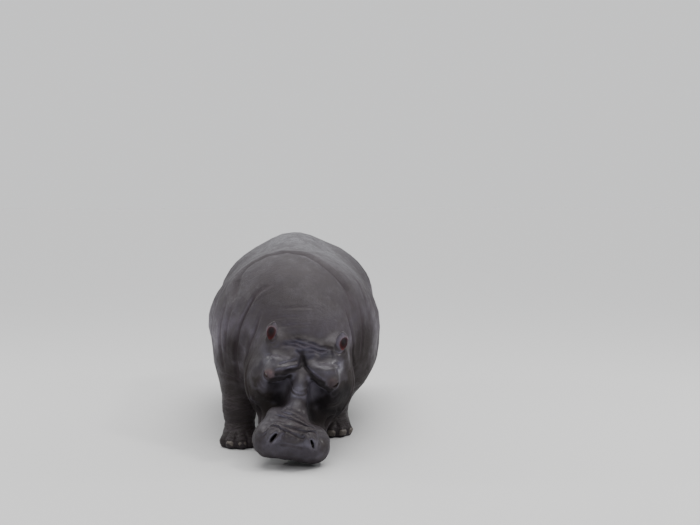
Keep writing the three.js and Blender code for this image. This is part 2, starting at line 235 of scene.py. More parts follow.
head = [
    (ellipsoid((0, -0.085, -0.150), (0.245, 0.170, 0.165)), 0.060),                        # cranium
    (limb((0, -0.150, -0.120), 0.086, (0, -0.290, -0.125), 0.068), 0.050),                 # between the eyes
    (ellipsoid((0, -0.268, -0.070), (0.060, 0.088, 0.074)), 0.036),                        # top of the bridge
    (limb((0, -0.300, -0.125), 0.066, (0, -0.560, -0.160), 0.118), 0.050),                 # bridge
    (ellipsoid((-0.105, -0.485, -0.155), (0.085, 0.095, 0.066)), 0.050),                   # its right foot
    (limb((0, -0.060, -0.340), 0.195, (0, -0.490, -0.320), 0.150), 0.090),                 # jaw and throat
    *both(lambda s: (ellipsoid((s * 0.235, -0.140, -0.300), (0.145, 0.215, 0.215)), 0.090)),  # jowls
    *both(lambda s: (ellipsoid((s * 0.205, -0.205, -0.160), (0.110, 0.150, 0.120)), 0.060)),  # cheekbones
    *both(lambda s: (ellipsoid((s * 0.172, -0.222, -0.038), (0.086, 0.082, 0.074)), 0.030)),  # orbits
    # the brows, the ridges from them to the ears, and the roots of the ears
    *both(lambda s: (limb((s * 0.028, -0.196, -0.056), 0.048, (s * 0.160, -0.182, -0.010), 0.050), 0.036)),
    *both(lambda s: (limb((s * 0.200, -0.120, -0.045), 0.054, (s * 0.218, -0.015, -0.042), 0.062), 0.050)),
    *both(lambda s: (ellipsoid((s * 0.205, 0.015, -0.135), (0.095, 0.130, 0.115)), 0.070)),
    (ellipsoid((0, -0.642, -0.188), (0.192, 0.116, 0.122)), 0.070),                        # muzzle
    *both(lambda s: (ellipsoid((s * 0.152, -0.622, -0.215), (0.104, 0.124, 0.122)), 0.060)),  # upper lips
    *both(lambda s: (ellipsoid((s * 0.106, -0.634, -0.090), (0.064, 0.074, 0.064)), 0.034)),  # nostril mounds
    (ellipsoid((0, -0.535, -0.340), (0.195, 0.145, 0.088)), 0.060),                        # chin
    *both(lambda s: (limb((s * 0.120, -0.530, -0.340), 0.080, (s * 0.225, -0.160, -0.400), 0.095), 0.080)),
    *both(lambda s: (ellipsoid((s * EAR[0], *EAR[1:]), (0.040, 0.027, 0.062), -30), 0.026)),  # ears
]
body = joined([
    *trunk, *neck, *foreleg(LEFT), *foreleg(RIGHT), *hindleg(LEFT), *hindleg(RIGHT), *tail,
    *[(in_head(shape), blend) for shape, blend in head],
])


# ---- Creases: furrows along curves that lie on the body, each with a low swelling on its two sides ----
def onto(distance, p, steps, step, flattest):
    """Draws points onto the surface of a field."""
    for _ in range(steps):
        d = distance(p)
        slope = np.array([(distance(p + column(step * axis)) - d) / step for axis in np.eye(3)])
        p = p - slope * d / np.maximum((slope * slope).sum(0), flattest)
    return p


def curve_through(points, steps=6):
    """A smooth curve through the points."""
    p = [np.array(q, dtype=float) for q in points]
    p = [2 * p[0] - p[1]] + p + [2 * p[-1] - p[-2]]
    result = []
    for a, b, c, d in zip(p, p[1:], p[2:], p[3:]):
        for t in np.arange(steps) / steps:
            result.append(((2 * b) + (c - a) * t + (2 * a - 5 * b + 4 * c - d) * t * t
                           + (3 * b - a - 3 * c + d) * t ** 3) / 2)
    return np.array(result + [p[-2]])


class Crease:
    """Depth and width are in metres. Each end dies away over the share fade of the whole length, and the
    two sides swell by the share swell of the depth.
    """
    def __init__(self, points, depth, width, headwise=False, fade=0.25, swell=0.45):
        if headwise:
            points = [from_head(q) for q in points]
        self.path = onto(lambda p: body(p) + dented(p), curve_through(points).T, 8, 0.001, 0.2).T
        self.depth, self.width, self.fade, self.swell = depth, width, fade, swell

    def sunk(self, p, links):
        """How far these links of the crease draw the hide in at each point."""
        best = np.full(p.shape[1], 1.0)
        place = np.zeros(p.shape[1])
        last = len(self.path) - 1
        for n in links:
            a, b = self.path[n], self.path[n + 1]
            axis = column(b - a)
            t = np.clip(((p - column(a)) * axis).sum(0) / max((axis * axis).sum(), 1e-9), 0, 1)
            r = length(p - column(a) - axis * t)
            closer = r < best
            best = np.where(closer, r, best)
            place = np.where(closer, (n + t) / last, place)
        ends = share(np.minimum(place, 1 - place), self.fade) ** 0.7
        return self.depth * ends * (hill(best, self.width) - self.swell * hill(best, 2.4 * self.width))


class Creases:
    """All the creases, with one table of their links to find the near ones in."""
    def __init__(self, creases):
        self.creases = creases
        links = [(crease, n) for crease in creases for n in range(len(crease.path) - 1)]
        self.owner = np.array([creases.index(crease) for crease, _ in links])
        self.link = np.array([n for _, n in links])
        ends = np.array([crease.path[n:n + 2] for crease, n in links])
        reach = np.array([4.5 * crease.width for crease, _ in links])[:, None]
        self.low, self.high = ends.min(1) - reach, ends.max(1) + reach

    def sunk(self, p):
        total = np.zeros(p.shape[1])
        near = ((self.low < p.max(1)) & (self.high > p.min(1))).all(1)
        for n in np.unique(self.owner[near]):
            total += self.creases[n].sunk(p, self.link[near & (self.owner == n)])
        return total


def neck_rings():
    """Rolls round the neck and shoulders: the animal turns a little to its left, so the sides differ."""
    right = [
        ([(-.35, -.89, .50), (-.35, -.90, .60), (-.31, -.91, .75), (-.26, -.93, .87), (-.22, -.91, 1.0)],
         .018, .016),
        ([(-.38, -.70, .40), (-.41, -.76, .55), (-.41, -.79, .69), (-.39, -.81, .81), (-.37, -.82, .89),
          (-.31, -.83, 1.02), (-.25, -.82, 1.11), (-.14, -.82, 1.17)], .026, .018),
        ([(-.47, -.70, .62), (-.48, -.73, .78), (-.44, -.72, .94), (-.38, -.70, 1.08)], .010, .014),
        ([(-.50, -.66, .50), (-.53, -.67, .78), (-.50, -.67, .97), (-.43, -.61, 1.13)], .015, .018),
        ([(-.56, -.46, .60), (-.58, -.47, .80), (-.54, -.44, 1.00), (-.44, -.38, 1.18)], .012, .016),
    ]
    left = [
        ([(.45, -.65, .50), (.43, -.80, .66), (.42, -.82, .76), (.40, -.83, .87), (.36, -.81, 1.01)],
         .024, .017),
        ([(.49, -.66, .62), (.49, -.68, .75), (.49, -.68, .90), (.45, -.65, 1.06)], .016, .015),
        ([(.58, -.52, .66), (.55, -.57, .92), (.50, -.51, 1.10), (.44, -.40, 1.22)], .014, .016),
        ([(.62, -.34, .62), (.62, -.36, .84), (.57, -.34, 1.04), (.48, -.28, 1.20)], .012, .016),
    ]
    over = [(-.44, -.70, 1.02), (-.41, -.66, 1.12), (-.36, -.48, 1.24), (-.23, -.44, 1.32),
            (-.13, -.45, 1.35), (0, -.48, 1.36), (.12, -.54, 1.34), (.19, -.59, 1.30), (.26, -.64, 1.25),
            (.33, -.67, 1.19), (.39, -.70, 1.10), (.43, -.73, .97)]
    nape = [([(-.15 + x, y, z), (x, y - .018, z + .012), (.10 + x, y + .006, z)], .0035, .011)
            for x, y, z in ((.05, -.95, 1.01), (-.04, -1.00, .96), (.02, -1.04, .91))]
    return [Crease(over, .032, .034, fade=.12, swell=.5)] + [Crease(*each) for each in right + left + nape]


def leg_creases(side):
    """Where the legs meet the trunk, rings round the shins, and clefts between the toes."""
    fore_y = FORE[side][1]
    front = [(.24, fore_y + .06, .40), (.33, fore_y - .02, .46), (.45, fore_y + .03, .50),
             (.54, fore_y + .16, .50)]
    elbow = [(.61, fore_y + .38, .66), (.60, fore_y + .34, .52), (.54, fore_y + .30, .40),
             (.40, fore_y + .28, .34)]
    stifle = [(.62, .56, .66), (.60, .64, .50), (.52, .72, .38), (.38, .78, .32)]
    ham = [(.26, 1.47, .78), (.33, 1.42, .62), (.42, 1.32, .50), (.50, 1.20, .46)]
    made = [Crease(on(side, points), depth, width) for points, depth, width in (
        (front, .014, .016), (elbow, .016, .018), (stifle, .016, .018), (ham, .012, .016))]
    for (x, y), back in ((FORE[side], .060), (HIND[side], .110)):
        for n, height in enumerate(SHIN_RINGS):
            middle = y + back * min(height / .27, 1)
            ring = [(x + SHIN_REACH * math.sin(turn), middle - SHIN_REACH * math.cos(turn),
                     height + .012 * math.sin(2 * turn + n)) for turn in np.linspace(-2.3, 2.3, 9)]
            made.append(Crease(ring, .006 + .001 * (n % 2), .010, swell=.6))
        for turn in (-38, 0, 38):
            cleft = [(*toe_place((x, y), side, turn, reach), z)
                     for reach, z in ((.085, .115), (.125, .085), (.145, .045), (.140, .005))]
            made.append(Crease(cleft, .010, .009, fade=.15, swell=.3))
    return made


def trunk_creases(side):
    tail_root = [(.075, 1.40, 1.20), (.070, 1.49, 1.05), (.060, 1.51, .92)]
    flank = [Crease(on(side, [(.54, y, 1.12), (.66, y + .03, .92), (.68, y + .05, .70), (.60, y + .04, .50)]),
                    .004 + .002 * (n % 2), .014, swell=.7)
             for n, y in enumerate((-.10, .02, .17, .36, .47))]
    return [Crease(on(side, tail_root), .012, .014)] + flank


def face_creases():
    made = [Crease(path, depth, width, headwise=True, fade=.12, swell=swell)
            for path, depth, width, swell in (
        # the furrow over the eyes and nose, which rises to a notch between the brows
        ([(-.175, -.255, .030), (-.147, -.241, .032), (-.082, -.209, .013), (-.030, -.180, .002),
          (-.012, -.140, .008), (-.016, -.080, .014)], .027, .014, .35),
        ([(-.016, -.090, .015), (.006, -.150, .003), (.054, -.201, .006), (.105, -.242, .011),
          (.161, -.273, .021)], .026, .014, .35),
        ([(-.165, -.208, .045), (-.120, -.178, .026), (-.092, -.153, .012), (-.036, -.124, .008)],
         .009, .013, .3),
        ([(.175, -.190, .035), (.120, -.170, .020), (.075, -.145, .012)], .007, .014, .4),
        # the brows' rolls, which rise instead of sinking
        ([(-.230, -.140, .02), (-.160, -.150, .04), (-.085, -.115, .02), (-.040, -.085, .01)],
         -.014, .028, 0),
        ([(-.142, -.228, .036), (-.085, -.188, .018), (-.038, -.155, .004)], -.006, .018, 0),
        ([(.225, -.160, .02), (.160, -.185, .035), (.090, -.165, .020), (.035, -.120, .01)], -.015, .030, 0),
        # below the round top of the bridge
        ([(-.060, -.280, -.07), (-.056, -.325, -.05), (-.030, -.352, -.035), (.010, -.358, -.033),
          (.045, -.340, -.045), (.060, -.290, -.07)], .009, .008, .5),
        # slanting folds over the muzzle
        ([(-.188, -.547, -.106), (-.095, -.582, -.044), (.041, -.612, -.034), (.163, -.622, -.054)],
         .018, .010, .4),
        ([(-.172, -.600, -.074), (-.057, -.630, -.035), (.045, -.648, -.040), (.126, -.650, -.041)],
         .013, .009, .4),
        ([(-.133, -.502, -.128), (-.021, -.541, -.036), (.089, -.567, -.053), (.175, -.575, -.078)],
         .018, .010, .4),
        ([(-.115, -.475, -.120), (-.010, -.512, -.036), (.080, -.538, -.053), (.150, -.530, -.090)],
         .013, .009, .4),
        ([(-.085, -.455, -.100), (.000, -.482, -.036), (.080, -.500, -.070)], .010, .009, .4),
        ([(-.080, -.715, -.075), (.000, -.712, -.070), (.075, -.718, -.075)], .008, .009, .4),
    )]
    made += [Crease([(x, y, .01) for x, y in row], depth, .013, headwise=True, fade=.3, swell=.5)
             for row, depth in (
        ([(-.160, -.040), (-.110, -.016), (-.060, -.026), (-.020, -.050)], .014),  # across the forehead
        ([(-.125, .002), (-.070, .010), (-.015, -.012), (.040, -.004)], .014),
        ([(-.090, .040), (-.030, .030), (.020, .038)], .009),
        ([(-.010, .012), (.045, .024), (.100, .012), (.150, .020)], .012),
        ([(.000, -.040), (.050, -.028), (.100, -.034), (.165, -.014)], .015),
        ([(.020, -.072), (.065, -.058), (.115, -.066)], .011),
        ([(-.070, -.062), (-.030, -.080), (.005, -.062)], .010),
        ([(.110, -.008), (.155, -.004), (.190, -.022)], .010),
    )]
    for side in SIDES:
        made += side_face_creases(side)
    return made


def side_face_creases(side):
    made = [Crease(on(side, [(x, -.370, -.04), (x + .006, -.420, -.05), (x + .022, -.470, -.06)]), depth,
                   .010, headwise=True) for x, depth in ((.040, .004), (.080, .005))]  # along the bridge
    made += [Crease(on(side, row), depth, width, headwise=True) for row, depth, width in (
        # down the jowl
        ([(.345, -.050, -.17), (.358, -.150, -.22), (.332, -.270, -.25), (.298, -.345, -.31),
          (.24, -.40, -.36)], .014, .014),
        ([(.340, .010, -.24), (.372, -.080, -.30), (.360, -.190, -.34), (.310, -.270, -.40)], .012, .015),
        ([(.262, -.300, -.20), (.285, -.335, -.27), (.268, -.370, -.34), (.225, -.390, -.41)], .014, .012),
        # under the eye
        ([(.215, -.330, -.10), (.245, -.310, -.10), (.272, -.265, -.09)], .008, .009),
        ([(.195, -.360, -.14), (.235, -.350, -.15), (.275, -.310, -.15)], .008, .010),
        # behind the orbit
        ([(.175, -.140, .03), (.225, -.120, .02), (.262, -.130, -.02)], .006, .014),
        ([(.190, -.020, .03), (.225, -.045, .03), (.270, -.030, .02), (.290, .020, .01)], .008, .009),
    )]
    round_nostril = [(.196, -.668, -.085), (.180, -.636, -.069), (.164, -.617, -.058), (.140, -.606, -.046),
                     (.108, -.615, -.037), (.078, -.643, -.037), (.064, -.680, -.045)]
    return made + [Crease(on(side, round_nostril), .018, .010, headwise=True, fade=.15, swell=.5)]


# ---- Dents: soft hollows, and swellings where the depth is less than nothing ----
DENTS = [(from_head((side * x, y, z)), size, depth) for side in SIDES for x, y, z, size, depth in (
    (.148, -.320, -.100, .052, .050),     # beside the bridge, under the eye
    (.100, -.300, -.085, .034, .034),
    (.120, -.390, -.125, .050, .026),
    (.115, -.450, -.130, .045, .012),
    (.190, -.070, .010, .035, .010),      # in front of the ear
    (.295, -.215, -.100, .045, .008),
    (.160, -.700, -.150, .045, -.012),    # pads of the upper lip
    (.222, -.262, .010, .042, -.010),     # the eye's own bulge
    (.110, -.285, -.085, .030, .016),
    (.100, -.690, -.045, .030, -.012),    # nostril's round lip
    (.150, -.645, -.050, .024, -.008),
    (.052, -.640, -.048, .026, .014),
    (.190, -.600, -.100, .034, .014),
    (.215, -.640, -.240, .060, -.010),
)] + [(from_head(place), size, depth) for *place, size, depth in (
    (0, -.245, -.005, .040, -.008),       # top of the bridge
    (.240, -.600, -.090, .065, .034),     # the head hangs a little askew, so the corners differ
    (-.215, -.600, -.105, .045, -.014),
    (0, -.735, -.120, .035, .014),        # between the nostrils
    (0, -.755, -.200, .032, .010),
    (0, -.130, .015, .050, .010),         # between the brows
)] + [(np.array(place), size, depth) for *place, size, depth in (
    (-.500, -.56, .52, .100, .018),
    (-.330, -.800, .42, .090, .026),      # between the neck and the foreleg
    (.400, -.760, .46, .090, .020),
    (.560, .560, .980, .160, .016),       # in front of the hips
    (-.560, .560, .980, .160, .016),
    (-.560, -.100, .960, .140, .014),     # behind the shoulders
    (.590, -.060, .960, .140, .014),
    (-.545, -.330, .800, .150, -.014),
    (.570, -.300, .800, .150, -.014),
)]
DENT_HUBS = np.array([hub for hub, _, _ in DENTS])
DENT_SIZES = np.array([size for _, size, _ in DENTS])


def dented(p):
    total = np.zeros(p.shape[1])
    gap = np.linalg.norm(DENT_HUBS - np.clip(DENT_HUBS, p.min(1), p.max(1)), axis=1)
    for n in np.flatnonzero(gap < 2.8 * DENT_SIZES):
        hub, size, depth = DENTS[n]
        total += depth * hill(length(p - column(hub)), size)
    return total


RIPPLE_WAVES = 7


def ripple(p, wave, seed):
    """A soft unevenness between about -1 and 1, made of waves that run in chance directions."""
    chance = np.random.default_rng(seed)
    total = np.zeros(p.shape[1])
    for _ in range(RIPPLE_WAVES):
        way = chance.normal(size=3)
        way *= 2 * math.pi / (wave * chance.uniform(0.7, 1.4)) / np.linalg.norm(way)
        total += np.sin(way @ p + chance.uniform(0, 6.3))
    return total / RIPPLE_WAVES * 1.6


# ---- The head's fine forms ----
EYE_OUT = np.array(Vector((0.72, -0.60, 0.32)).normalized())
LID_LONG, LID_HIGH = 0.0260, 0.0135                   # half the slit's length and half its height
LID_THICK = 0.0065
LIP_LINE = np.array([                                 # how far along the head, and how high
    ((1 - t) ** 2 * -.90 + 2 * t * (1 - t) * -.56 + t * t * -.30,
     (1 - t) ** 2 * -.33 + 2 * t * (1 - t) * -.33 + t * t * -.285) for t in np.linspace(0, 1, 24)
])


def eye_axes(side):
    """Along the lids, up across them, and out of the eye."""
    out = EYE_OUT * (side, 1, 1)
    up = np.array((0, 0.25, 1.0))
    up = up - out * (up @ out)
    up /= np.linalg.norm(up)
    return np.cross(up, out), up, out


def lids(d, q):
    """A bulge round each eye, with a slit in it, raised rims to the slit and a crease round the lids."""
    for side in SIDES:
        e = q - column((side * EYE[0], *EYE[1:]))
        r = length(e)
        if r.min() > 0.09:
            continue
        along, up, out = [axis @ e for axis in eye_axes(side)]
        gap = np.abs(up + 0.001) - LID_HIGH * (1 - (along / LID_LONG) ** 2)
        d = smooth_min(d, r - (EYE_RADIUS + LID_THICK), 0.018)
        d = d - 0.0025 * hill(gap - 0.003, 0.0030) * (out > 0)
        ring = np.where(up > 0, 0.047, 0.043)
        d = d + 0.0045 * hill(r - ring, 0.0045) * share(out, 0.012)
        d = smooth_max(d, -np.maximum(gap, 0.005 - out), 0.004)
    return d


def ear_cup(side):
    """The left ear is turned further out than the right one."""
    out = 0.256 if side == LEFT else 0.2445
    return ellipsoid((side * out, 0.014, 0.064), (0.0290, 0.0330, 0.0500), -30, side * 12)


def nostril_slit(side):
    middle = (side * NOSTRIL[0], NOSTRIL[1] - 0.004, NOSTRIL[2] + 0.010)
    return ellipsoid(middle, (0.010, 0.034, 0.030), 25, side * 38)


EAR_CUPS = both(ear_cup)
EAR_TIPS = both(lambda s: limb((s * .240, .050, .080), .026, (s * .234, .068, .114), .010))
NOSTRIL_SLITS = both(nostril_slit)


def lip_gap(q):
    """How far above the line between the lips each point is."""
    return q[2] - np.interp(q[1], *LIP_LINE.T)


def lips(d, q):
    """The closed mouth: a furrow between two full lips, which fades out at the corner."""
    gap = lip_gap(q)
    furrow = .016 * hill(gap, .0075) - .006 * hill(np.abs(gap) - .026, .018)
    return d + furrow * share(-.295 - q[1], .05) * (q[2] < -.20)


def face(d, q):
    """Adds the mouth, the ears' tips and cups, the nostrils with a round lip each, and the lids."""
    d = lips(d, q)
    for tip in EAR_TIPS:
        d = smooth_min(d, tip(q), 0.030)
    for cup in EAR_CUPS:
        d = smooth_max(d, -cup(q), 0.005)
    for slit in NOSTRIL_SLITS:
        depth = slit(q)
        d = d - 0.010 * hill(depth - 0.014, 0.010)
        d = smooth_max(d, -depth, 0.008)
    return lids(d, q)


creases = Creases([*neck_rings(), *leg_creases(LEFT), *leg_creases(RIGHT), *trunk_creases(LEFT),
                   *trunk_creases(RIGHT), *face_creases()])
HEAD_MIDDLE = from_head((0, -.35, -.15))
HEAD_REACH = 0.6                                      # nothing of the head is further from its middle


def skin(p):
    """Distance to the hide with everything on it."""
    d = body(p) + creases.sunk(p) + dented(p)
    d = d + 0.0030 * ripple(p, 0.42, 3) + 0.0014 * ripple(p, 0.13, 4)
    if np.linalg.norm(np.clip(HEAD_MIDDLE, p.min(1), p.max(1)) - HEAD_MIDDLE) < HEAD_REACH:
        q = head_place(p)
        muzzle = share(-.40 - q[1], .12)
        d = face(d + muzzle * (.0035 * ripple(p, .095, 5) + .0018 * ripple(p, .045, 6)), q)
    return smooth_max(d, -p[2], 0.008)


# ---- The skin's mesh ----
def cut_up(cells, many):
    """Each cell of a grid becomes many along every axis."""
    for axis in range(3):
        cells = np.repeat(cells, many, axis)
    return cells


def net_of(distance, low, high):
    """Closed quads on the surface of a field: it is worked out coarsely, and then finely near the surface."""
    low, high = np.array(low), np.array(high)
    many = round(COARSE / FINE)
    count = np.ceil((high - low) / COARSE).astype(int)
    grid = np.meshgrid(*[np.arange(n + 1) for n in count], indexing="ij")
    rough = in_blocks(body, column(low) + COARSE * np.array(grid).reshape(3, -1)).reshape(count + 1)
    corners = [rough[i:i + count[0], j:j + count[1], k:k + count[2]]
               for i in (0, 1) for j in (0, 1) for k in (0, 1)]
    close = (np.min(corners, axis=0) < BAND) & (np.max(corners, axis=0) > -BAND)
    fine = np.where(cut_up(corners[0] < 0, many), -BAND, BAND).astype(np.float32)
    i, j, k = np.nonzero(cut_up(close, many))
    fine[i, j, k] = in_blocks(distance, column(low) + FINE * np.array([i, j, k]))
    volume = openvdb.FloatGrid()
    volume.copyFromArray(fine)
    points, quads = volume.convertToQuads(0.0)
    return np.array(points) * FINE + low, np.array(quads)[:, ::-1]


def added(name, data):
    """Puts a new object into the scene."""
    made = bpy.data.objects.new(name, data)
    bpy.context.scene.collection.objects.link(made)
    return made


def mesh_object(name, points, faces):
    mesh = bpy.data.meshes.new(name)
    mesh.from_pydata(points.tolist(), [], faces.tolist())
    mesh.polygons.foreach_set("use_smooth", [True] * len(mesh.polygons))
    return added(name, mesh)


def at_corners(mesh, what):
    """A vector of each of the mesh's vertices, as 3 x N numbers."""
    values = np.empty(len(mesh.vertices) * 3)
    mesh.vertices.foreach_get(what, values)
    return values.reshape(-1, 3).T


def put_places(mesh, p):
    mesh.vertices.foreach_set("co", p.T.ravel())
    mesh.update()


def plain(piece):
    """Applies a piece's modifiers to its mesh."""
    evaluated = piece.evaluated_get(bpy.context.evaluated_depsgraph_get())
    mesh = bpy.data.meshes.new_from_object(evaluated)
    piece.modifiers.clear()
    piece.data = mesh


def settle(distance, start):
    """Draws points onto a field's surface, but none of them far, so that no face turns over."""
    moved = onto(lambda p: in_blocks(distance, p), start, 2, 0.0008, 0.3) - start
    return start + moved * np.minimum(1, SETTLE_REACH / np.maximum(length(moved), 1e-9))


def as_left(q):
    """Brings points on the head's right side over to its left."""
    return np.array([np.abs(q[0]), q[1], q[2]])


def refine(mesh, spots):
    """Cuts each face near one of the spots into four. A spot is a place on the head and a reach."""
    shape = bmesh.new()
    shape.from_mesh(mesh)
    sided = as_left(head_place(at_corners(mesh, "co")))
    marked = np.any([length(sided - column(place)) < reach for *place, reach in spots], axis=0)
    edges = {edge for face in shape.faces if all(marked[v.index] for v in face.verts) for edge in face.edges}
    bmesh.ops.subdivide_edges(shape, edges=list(edges), cuts=1, use_grid_fill=True)
    bmesh.ops.triangulate(shape, faces=[face for face in shape.faces if len(face.verts) > 3])
    shape.to_mesh(mesh)
    shape.free()


FINE_SPOTS = [(*EYE, .062), (.244, .016, .060, .085), (*NOSTRIL, .075), (0, -.580, -.060, .120),
              (.110, -.580, -.080, .120), (.070, -.170, .0, .085), (.150, -.190, .020, .090),
              (0, -.320, -.040, .080), (.080, -.010, .0, .080)]
FINEST_SPOTS = [(*EYE, .053), (.244, .016, .060, .072), (*NOSTRIL, .060)]


# ---- What is painted on the skin, for its finish to read ----
def paint(mesh, name, values):
    mesh.attributes.new(name, "FLOAT", "POINT").data.foreach_set("value", np.clip(values, 0, 1))


def patches(p, spots):
    """How much of a paint there is: full in the middle of each spot, and fading beyond its size.

    A spot is a place, a size and an amount.
    """
    total = np.zeros(p.shape[1])
    for *place, size, amount in spots:
        near = np.minimum(1.5 * hill(length(p - column(place)), size), 1)
        total = np.maximum(total, amount * near)
    return total


def mirrored(spots):
    """Spots of the left side, and the same ones on the right."""
    return [(side * x, *rest) for side in SIDES for x, *rest in spots]


def line_of(points, size):
    """Spots along a curve, close enough to join into a band."""
    return [(*place, size, 1) for place in curve_through(points, 8)]


# Wet places: glossier hide, and pale streaks of painted sheen in its colour.
WET_AND_SHEEN_SPOTS = [
    # the brows
    (.232, -.125, .004, .036, 1), (.262, -.150, -.028, .032, 1), (.150, -.160, .035, .050, .35),
    (.190, -.030, .020, .050, .40), (-.200, -.150, .030, .060, .30), (-.245, -.150, -.010, .030, .5),
    (-.120, -.205, .020, .035, .25),
    # the bridge and the muzzle
    (0, -.290, -.02, .040, .45), (0, -.42, -.05, .050, .10), (-.020, -.600, -.05, .120, .20),
    (-.180, -.560, -.100, .050, .35), (.200, -.590, -.100, .060, .20),
]
# The wet back, with pale streaks of painted sheen in its colour.
WET_AND_SHEEN_BACK = [(.08, .35, 1.40, .38, 1), (.36, .0, 1.28, .2, 1)]
# Painted light: paler hide where the brows, the bridge and the top of the muzzle catch the light.
PAINTED_LIGHT_SPOTS = [
    # the brows
    (-.250, -.150, -.015, .050, .9), (-.200, -.160, .030, .055, 1), (-.140, -.150, .020, .050, .7),
    (-.090, -.190, .015, .030, .5), (.110, -.160, .020, .045, .8), (.160, -.150, .035, .050, .8),
    (.220, -.120, .010, .040, .9),
    # the bridge
    (-.010, -.270, -.010, .040, .4), (-.014, -.330, -.025, .036, .4), (-.030, -.380, -.040, .040, .8),
    (-.060, -.430, -.060, .050, 1),
    # the muzzle
    (-.130, -.460, -.095, .055, 1), (-.150, -.520, -.110, .060, .8), (-.060, -.500, -.060, .055, .8),
    (-.190, -.560, -.100, .045, .9), (.120, -.530, -.080, .040, .6), (.200, -.590, -.100, .045, .6),
    (-.130, -.650, -.050, .045, .5), (.100, -.660, -.045, .045, .5),
]
# Painted shade, near black, in the notch between the brows, the hollows beside the bridge and the furrows
# under the brows.
HOLLOW_SHADE_SPOTS = [
    # the notch between the brows
    (0, -.160, -.004, .022, 1), (0, -.120, .006, .018, .9), (-.010, -.075, .012, .018, .8),
    (-.005, -.125, .006, .026, 1), (-.008, -.100, .010, .022, .95), (.012, -.150, .002, .022, 1),
    # beside the bridge, under the left brow and eye
    (.170, -.350, -.150, .055, 1), (.200, -.360, -.210, .060, 1), (.125, -.410, -.200, .045, 1),
    (.245, -.325, -.120, .050, .95), (.280, -.345, -.240, .070, .9), (.078, -.395, -.090, .036, .9),
    (.096, -.430, -.115, .042, .9), (.112, -.460, -.140, .042, .9), (.072, -.236, -.010, .015, .8),
    (.113, -.268, -.004, .016, .9), (.150, -.286, .004, .018, .9), (.068, -.283, -.040, .022, .9),
    (.203, -.306, -.034, .036, 1), (.257, -.296, -.080, .045, .95), (.203, -.337, -.102, .050, 1),
    (.257, -.324, -.112, .050, 1), (.300, -.285, -.135, .065, 1), (.325, -.245, -.160, .070, 1),
    (.290, -.330, -.250, .080, .95),
    # beside the bridge, under the right brow and eye
    (-.240, -.345, -.180, .050, .6), (-.260, -.365, -.300, .060, .6), (-.073, -.258, -.032, .020, .9),
    (-.110, -.278, -.012, .024, 1), (-.140, -.288, -.004, .024, 1), (-.172, -.298, -.014, .026, .95),
    (-.203, -.308, -.026, .024, .9), (-.157, -.304, -.072, .040, 1), (-.104, -.290, -.085, .035, 1),
    (-.067, -.289, -.045, .018, .8),
] + mirrored([
    (.078, -.265, -.055, .020, .9), (.100, -.285, -.080, .026, 1), (.140, -.305, -.094, .038, 1),
    (.175, -.315, -.075, .036, 1), (.130, -.355, -.170, .050, 1), (.195, -.300, -.060, .028, 1),
    (.105, -.330, -.110, .024, .9),
]) + [spot for points, size in (
    # the furrow under the brows, and the folds of skin under it
    ([(-.168, -.264, .018), (-.140, -.250, .018), (-.082, -.218, .006), (-.028, -.186, -.002),
      (-.010, -.130, .006)], .015),
    ([(.002, -.130, .006), (.012, -.160, .0), (.054, -.210, .0), (.105, -.252, .004), (.150, -.278, .010)],
     .015),
    ([(-.073, -.246, -.018), (-.110, -.270, .000), (-.150, -.284, .004), (-.195, -.298, -.010)], .021),
    ([(.076, -.244, -.014), (.112, -.272, -.002), (.150, -.294, .002), (.190, -.306, -.014)], .019),
) for spot in line_of(points, size)]
# Painted shade: darker hide on the cheeks and jowls, behind and round the eyes, on the folded forehead,
# beside the bridge and over the muzzle.
SHADE_SPOTS = mirrored([
    # cheeks and jowls
    (.210, -.350, -.160, .070, 1), (.270, -.330, -.200, .080, 1), (.210, -.390, -.270, .090, 1),
    (.300, -.220, -.320, .110, .95), (.130, -.430, -.230, .070, 1), (.290, -.270, -.130, .050, .95),
    (.330, -.160, -.250, .090, .95), (.330, -.270, -.240, .090, 1), (.280, -.360, -.370, .090, 1),
    (.235, .020, .010, .036, .8),
]) + [
    # the left side, behind the eye
    (.340, -.180, -.150, .070, 1), (.297, -.225, -.090, .060, .95), (.340, -.121, -.149, .070, .9),
    (.340, -.282, -.251, .090, 1), (.340, -.080, -.200, .090, .8), (.285, -.015, -.025, .050, .85),
    (.300, -.060, -.075, .060, .75),
    # round the eyes
    (.216, -.262, .0, .046, .65), (-.290, -.205, -.070, .046, .6), (-.216, -.280, -.012, .034, .55),
    # the folded forehead
    (-.110, .005, .0, .046, .8), (-.050, .0, .0, .052, .95), (.010, -.020, .0, .056, 1),
    (.060, -.010, .0, .056, 1), (.110, -.010, .0, .054, 1), (.158, -.015, .0, .042, .9),
    (-.035, -.055, .010, .042, .95), (.020, -.060, .010, .036, .8), (-.070, -.020, .0, .040, .8),
    (.045, -.085, .012, .034, .9), (.0, -.095, .010, .040, 1),
    # along the bridge
    (.042, -.290, -.022, .024, .7), (.052, -.340, -.036, .026, .8), (.060, -.400, -.056, .030, .7),
    # the muzzle
    (0, -.755, -.131, .080, .6), (-.134, -.736, -.124, .070, .45), (.123, -.730, -.120, .080, .6),
    (0, -.750, -.230, .130, .75), (.160, -.700, -.230, .110, .75), (-.160, -.700, -.230, .110, .75),
    (.070, -.560, -.050, .070, .5), (.020, -.640, -.050, .080, .45), (.100, -.720, -.120, .080, .6),
    (-.060, -.720, -.100, .070, .5), (.210, -.660, -.160, .070, .7), (-.220, -.690, -.180, .070, .6),
    (.020, -.520, -.040, .050, .45), (.130, -.600, -.060, .060, .4),
]
